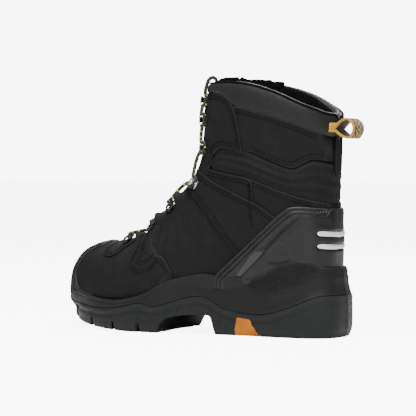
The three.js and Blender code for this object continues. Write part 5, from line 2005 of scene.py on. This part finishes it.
def make_lining():
    """The mesh lining: one sheet from the rim down to the footbed."""
    around = round_from(float(throat_phi(13.0)) + LINING_GAP)
    rows = []
    for step in np.linspace(0, 1, 12):
        rise = RIM_SHARE - 1.2 * step
        offset = LINING_DEPTH - 2.2 * math.sin(math.pi * min(1.0, max(0.0, 1 - rise) / 1.05)) ** 0.8
        rows.append(pad_point(around, rise, np.full(LINING_COLUMNS, offset)))
    top = pad_u(around, -0.23)
    for t in np.linspace(1, 2, 34)[1:] - 1:
        u = top + (LINING_FLOOR - top) * t
        offset = LINING_DEPTH + 1.8 * min(1.0, t * 8)
        phi = round_from(throat_phi(u) + LINING_GAP)
        rows.append(raised(u, phi, np.full(LINING_COLUMNS, offset)))
    faces = []
    for r in range(len(rows) - 1):
        for a in range(r * LINING_COLUMNS, (r + 1) * LINING_COLUMNS - 1):
            faces.append([a, a + 1, a + LINING_COLUMNS + 1, a + LINING_COLUMNS])
    piece = make_object("lining", np.vstack(rows), faces)
    solid = piece.modifiers.new("thickness", "SOLIDIFY")
    solid.thickness = 0.7 * MM
    solid.offset = 0
    finish_piece(piece, "mesh_textile", replaces=["lining"])


TONGUE_SIDE = catmull([
    (96, 46), (92, 62), (84, 72), (50, 85), (20, 105), (-10, 135), (-35, 170), (-50, 205),
    (-62, 228), (-78, 240), (-86, 250),
])
TONGUE_TOP = catmull([
    (-100, 236), (-88, 243), (-78, 248.5), (-60, 253), (-40, 255.5), (-20, 256), (60, 256),
])
TONGUE_FOOT = 4.75
TONGUE_CORE = -9.6           # the middle of the tongue's thickness, off the body
QUILT_PITCH = 17.0


def make_tongue():
    """The padded tongue: wide wings at the top, a crowned middle that shows between the laces."""
    across = np.linspace(-1, 1, 33)
    side = locate(resample(TONGUE_SIDE, 2.0))
    side = side[np.argsort(side[:, 0])]
    top_u, top_phi = line_over_phi(TONGUE_TOP)
    rings = []
    for h in np.linspace(0, 1, 80):
        u_mid = TONGUE_FOOT + (13.6 - TONGUE_FOOT) * h
        half_phi = np.interp(u_mid, side[:, 0], side[:, 1])
        phi = across * half_phi
        reach = np.interp(np.abs(phi), top_phi, top_u) - 0.08
        u = TONGUE_FOOT + (reach - TONGUE_FOOT) * h
        y = surface(u, phi)[:, 1] - sections_at(u)[:, 5]
        end = min(1.0, (1 - h) * 18 + 0.1) ** 0.5 * min(1.0, h * 14 + 0.15) ** 0.5
        edge = (1 - np.abs(across) ** 8) * 0.9 + 0.1
        crown = 4.2 * np.clip(1 - (y / 19) ** 2, 0, 1) * smooth(u_mid, 4.7, 5.6)
        quilt = 0.9 * bump((u_mid * SECTION_STEP / QUILT_PITCH) % 1, 0.5, 0.13)
        upper = TONGUE_CORE + (2.6 + crown - quilt) * edge * end
        lower = TONGUE_CORE - 2.6 * edge * end
        rings.append(np.vstack([raised(u, phi, upper), raised(u, phi, lower)[::-1]]))
    piece = stacked("tongue", rings)
    cushion(piece, 2.2, 1.0, 1.0)
    finish_piece(piece, "mesh_textile", body=None, replaces=["tongue"])
    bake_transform(piece)


def make_footbed():
    mesh = frame["nodes"]["footbed"].data.copy()
    piece = bpy.data.objects.new("footbed_cushion", mesh)
    bpy.context.scene.collection.objects.link(piece)
    cushion(piece, 2.4, 1.5, 1.2)
    finish_piece(piece, "soft_foam", "footbed", replaces=["footbed"])


make_collar()
make_lining()
make_tongue()
make_footbed()


# ------------------------------------------------------------------ back tab and pull loop
def find_back(points):
    """(u, phi) on the heel's back for rear-view points (y, z)."""
    points = np.asarray(points, float)
    domain = np.column_stack([np.interp(points[:, 1], SECTIONS[7:, 3], np.arange(7, 15)),
                              math.pi - points[:, 0] / 45])
    return newton(domain, points, [1, 2], 8, 0.2)


def make_back_tab():
    half = catmull([(7.5, 194), (7.5, 165), (5, 157), (0, 153.5)], 6)
    outline = find_back(resample(np.vstack([half, half[::-1][1:] * np.array([-1, 1])]), 1.5, closed=True))
    edge = find_back(resample(half[:14], 1.5))
    other = find_back(resample(half[:14] * np.array([-1, 1]), 1.5))
    leather("back_tab", trimmed(outline), LEVELS["back_tab"], [edge, other],
            replaces=["back_tab"], rows=False, spacing=1.8)


LOOP_ROOT = np.array([-141.9, 201.0])
LOOP_POINTS = np.array([
    (0.6, -0.9), (-2, 2.6), (-7, 7.6), (-14, 9.4), (-20, 4.5), (-21, -3), (-16, -10), (-8, -8.4),
    (-2, -4.0),
])
LOOP_SHAPE = catmull(LOOP_POINTS + LOOP_ROOT, 7, closed=True)
LOOP_HALF_WIDTH = 12.9
LOOP_CENTRE_Y = 5.0


def band(name, line, outer_depth, inner_depth, look, slot, replaces=()):
    """A closed strap: the line is its outer side view, given depths inside it."""
    profile = [(-1, 0.35), (-0.965, 0.0), (0.965, 0.0), (1, 0.35),
               (1, 0.65), (0.965, 1.0), (-0.965, 1.0), (-1, 0.65)]
    line = resample(line, 1.0, closed=True)
    steps = np.concatenate([[0], np.cumsum(np.linalg.norm(np.diff(line, axis=0), axis=1))])
    rings = []
    for w, depth in profile:
        ring = shrunk(line, outer_depth + (inner_depth - outer_depth) * depth)
        y = np.full(len(ring), LOOP_CENTRE_Y + w * LOOP_HALF_WIDTH)
        rings.append(np.column_stack([ring[:, 0], y, ring[:, 1]]))
    count, sides = len(line), len(profile)
    points = np.vstack(rings)
    faces, corners = [], []
    for s in range(sides):
        for k in range(count):
            n, t = (k + 1) % count, (s + 1) % sides
            faces.append([s * count + k, s * count + n, t * count + n, t * count + k])
            far = steps[k + 1] if k + 1 < count else steps[-1] + 1
            w0, w1 = profile[s][0] * LOOP_HALF_WIDTH, profile[t][0] * LOOP_HALF_WIDTH
            corners += [(steps[k], w0), (far, w0), (far, w1), (steps[k], w1)]
    turned = outward(points, faces)
    if turned is not faces:
        corners = [corners[i * 4 + j] for i in range(len(faces)) for j in (3, 2, 1, 0)]
    piece = make_object(name, points, turned)
    corner_uv(piece, corners)
    piece.data.set_sharp_from_angle(angle=math.radians(60))
    finish_piece(piece, slot, None, replaces, look)
    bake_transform(piece)


def root_height(points, _):
    """The sewn end of the webbing lies over the collar pad, with a woven rib across it."""
    return 4.4 + 0.25 * np.sin(points[:, 1] * 3.5)


def make_pull_loop():
    band("pull_loop_band", LOOP_SHAPE, 0.0, 1.0, LOOKS["loop_webbing"], "loop_webbing", ["pull_loop"])
    band("pull_loop_inner", LOOP_SHAPE, 1.1, 1.75, INNER_WEBBING, "loop_webbing")
    low, high = LOOP_CENTRE_Y - LOOP_HALF_WIDTH, LOOP_CENTRE_Y + LOOP_HALF_WIDTH
    corners = rounded([(low, 197), (high, 197), (high, 206), (low, 206)], 1.0)
    outline = find_back(resample(corners, 1.2, closed=True))
    piece = panel("pull_loop_root", trimmed(outline), root_height, 2.2, 1.4)
    finish_piece(piece, "loop_webbing", replaces=["pull_loop_anchor"], look=LOOKS["loop_webbing"])


make_back_tab()
make_pull_loop()

# ------------------------------------------------------------------ stage
WORLD_LIGHT = 0.34
WORLD_SEEN = 8.0
FLOOR_LIFT = 7.0


def seen_directly(tree, socket, otherwise, seen):
    """Gives the backdrop one strength for the picture and another for lighting the boot."""
    path = tree.nodes.new("ShaderNodeLightPath")
    span = tree.nodes.new("ShaderNodeMapRange")
    span.inputs["To Min"].default_value = otherwise
    span.inputs["To Max"].default_value = seen
    tree.links.new(path.outputs["Is Camera Ray"], span.inputs["Value"])
    tree.links.new(span.outputs["Result"], socket)


FLOOR_REACH = 12.0              # half the floor's side, in metres


def make_stage():
    floor = bpy.data.meshes.new("floor")
    corners = [(x * FLOOR_REACH, y * FLOOR_REACH, 0) for x, y in ((-1, -1), (1, -1), (1, 1), (-1, 1))]
    floor.from_pydata(corners, [], [(0, 1, 2, 3)])
    piece = bpy.data.objects.new("floor", floor)
    bpy.context.scene.collection.objects.link(piece)
    paper = Look("floor_paper", (0.9, 0.9, 0.9), 0.9, specular=0.1)
    paper.colour(paper.ramp(paper.noise(60, 2), (0.3, (0.89, 0.89, 0.89)), (0.7, (0.92, 0.92, 0.92))))
    paper.set("Emission Color", (1, 1, 1, 1))
    seen_directly(paper.tree, paper.shader.inputs["Emission Strength"], 0.0, FLOOR_LIFT)
    floor.materials.append(paper.material)
    world = bpy.data.worlds.new("studio")
    world.use_nodes = True
    background = world.node_tree.nodes["Background"]
    background.inputs["Color"].default_value = (1, 1, 1, 1)
    seen_directly(world.node_tree, background.inputs["Strength"], WORLD_LIGHT, WORLD_SEEN)
    bpy.context.scene.world = world


def soft_light(name, azimuth, elevation, distance, size, power):
    a, e = math.radians(azimuth), math.radians(elevation)
    direction = Vector((math.sin(a) * math.cos(e), -math.cos(a) * math.cos(e), math.sin(e)))
    data = bpy.data.lights.new(name, "AREA")
    data.size = size
    data.energy = power
    light = bpy.data.objects.new(name, data)
    light.location = direction * distance + Vector((0, 0, 0.12))
    light.rotation_euler = direction.to_track_quat("Z", "Y").to_euler()
    bpy.context.scene.collection.objects.link(light)


make_stage()
soft_light("overhead", 200, 68, 1.5, 1.1, 60)
soft_light("fill", 222, 14, 1.5, 0.9, 4.5)
soft_light("rim", 20, 35, 1.4, 0.8, 14)
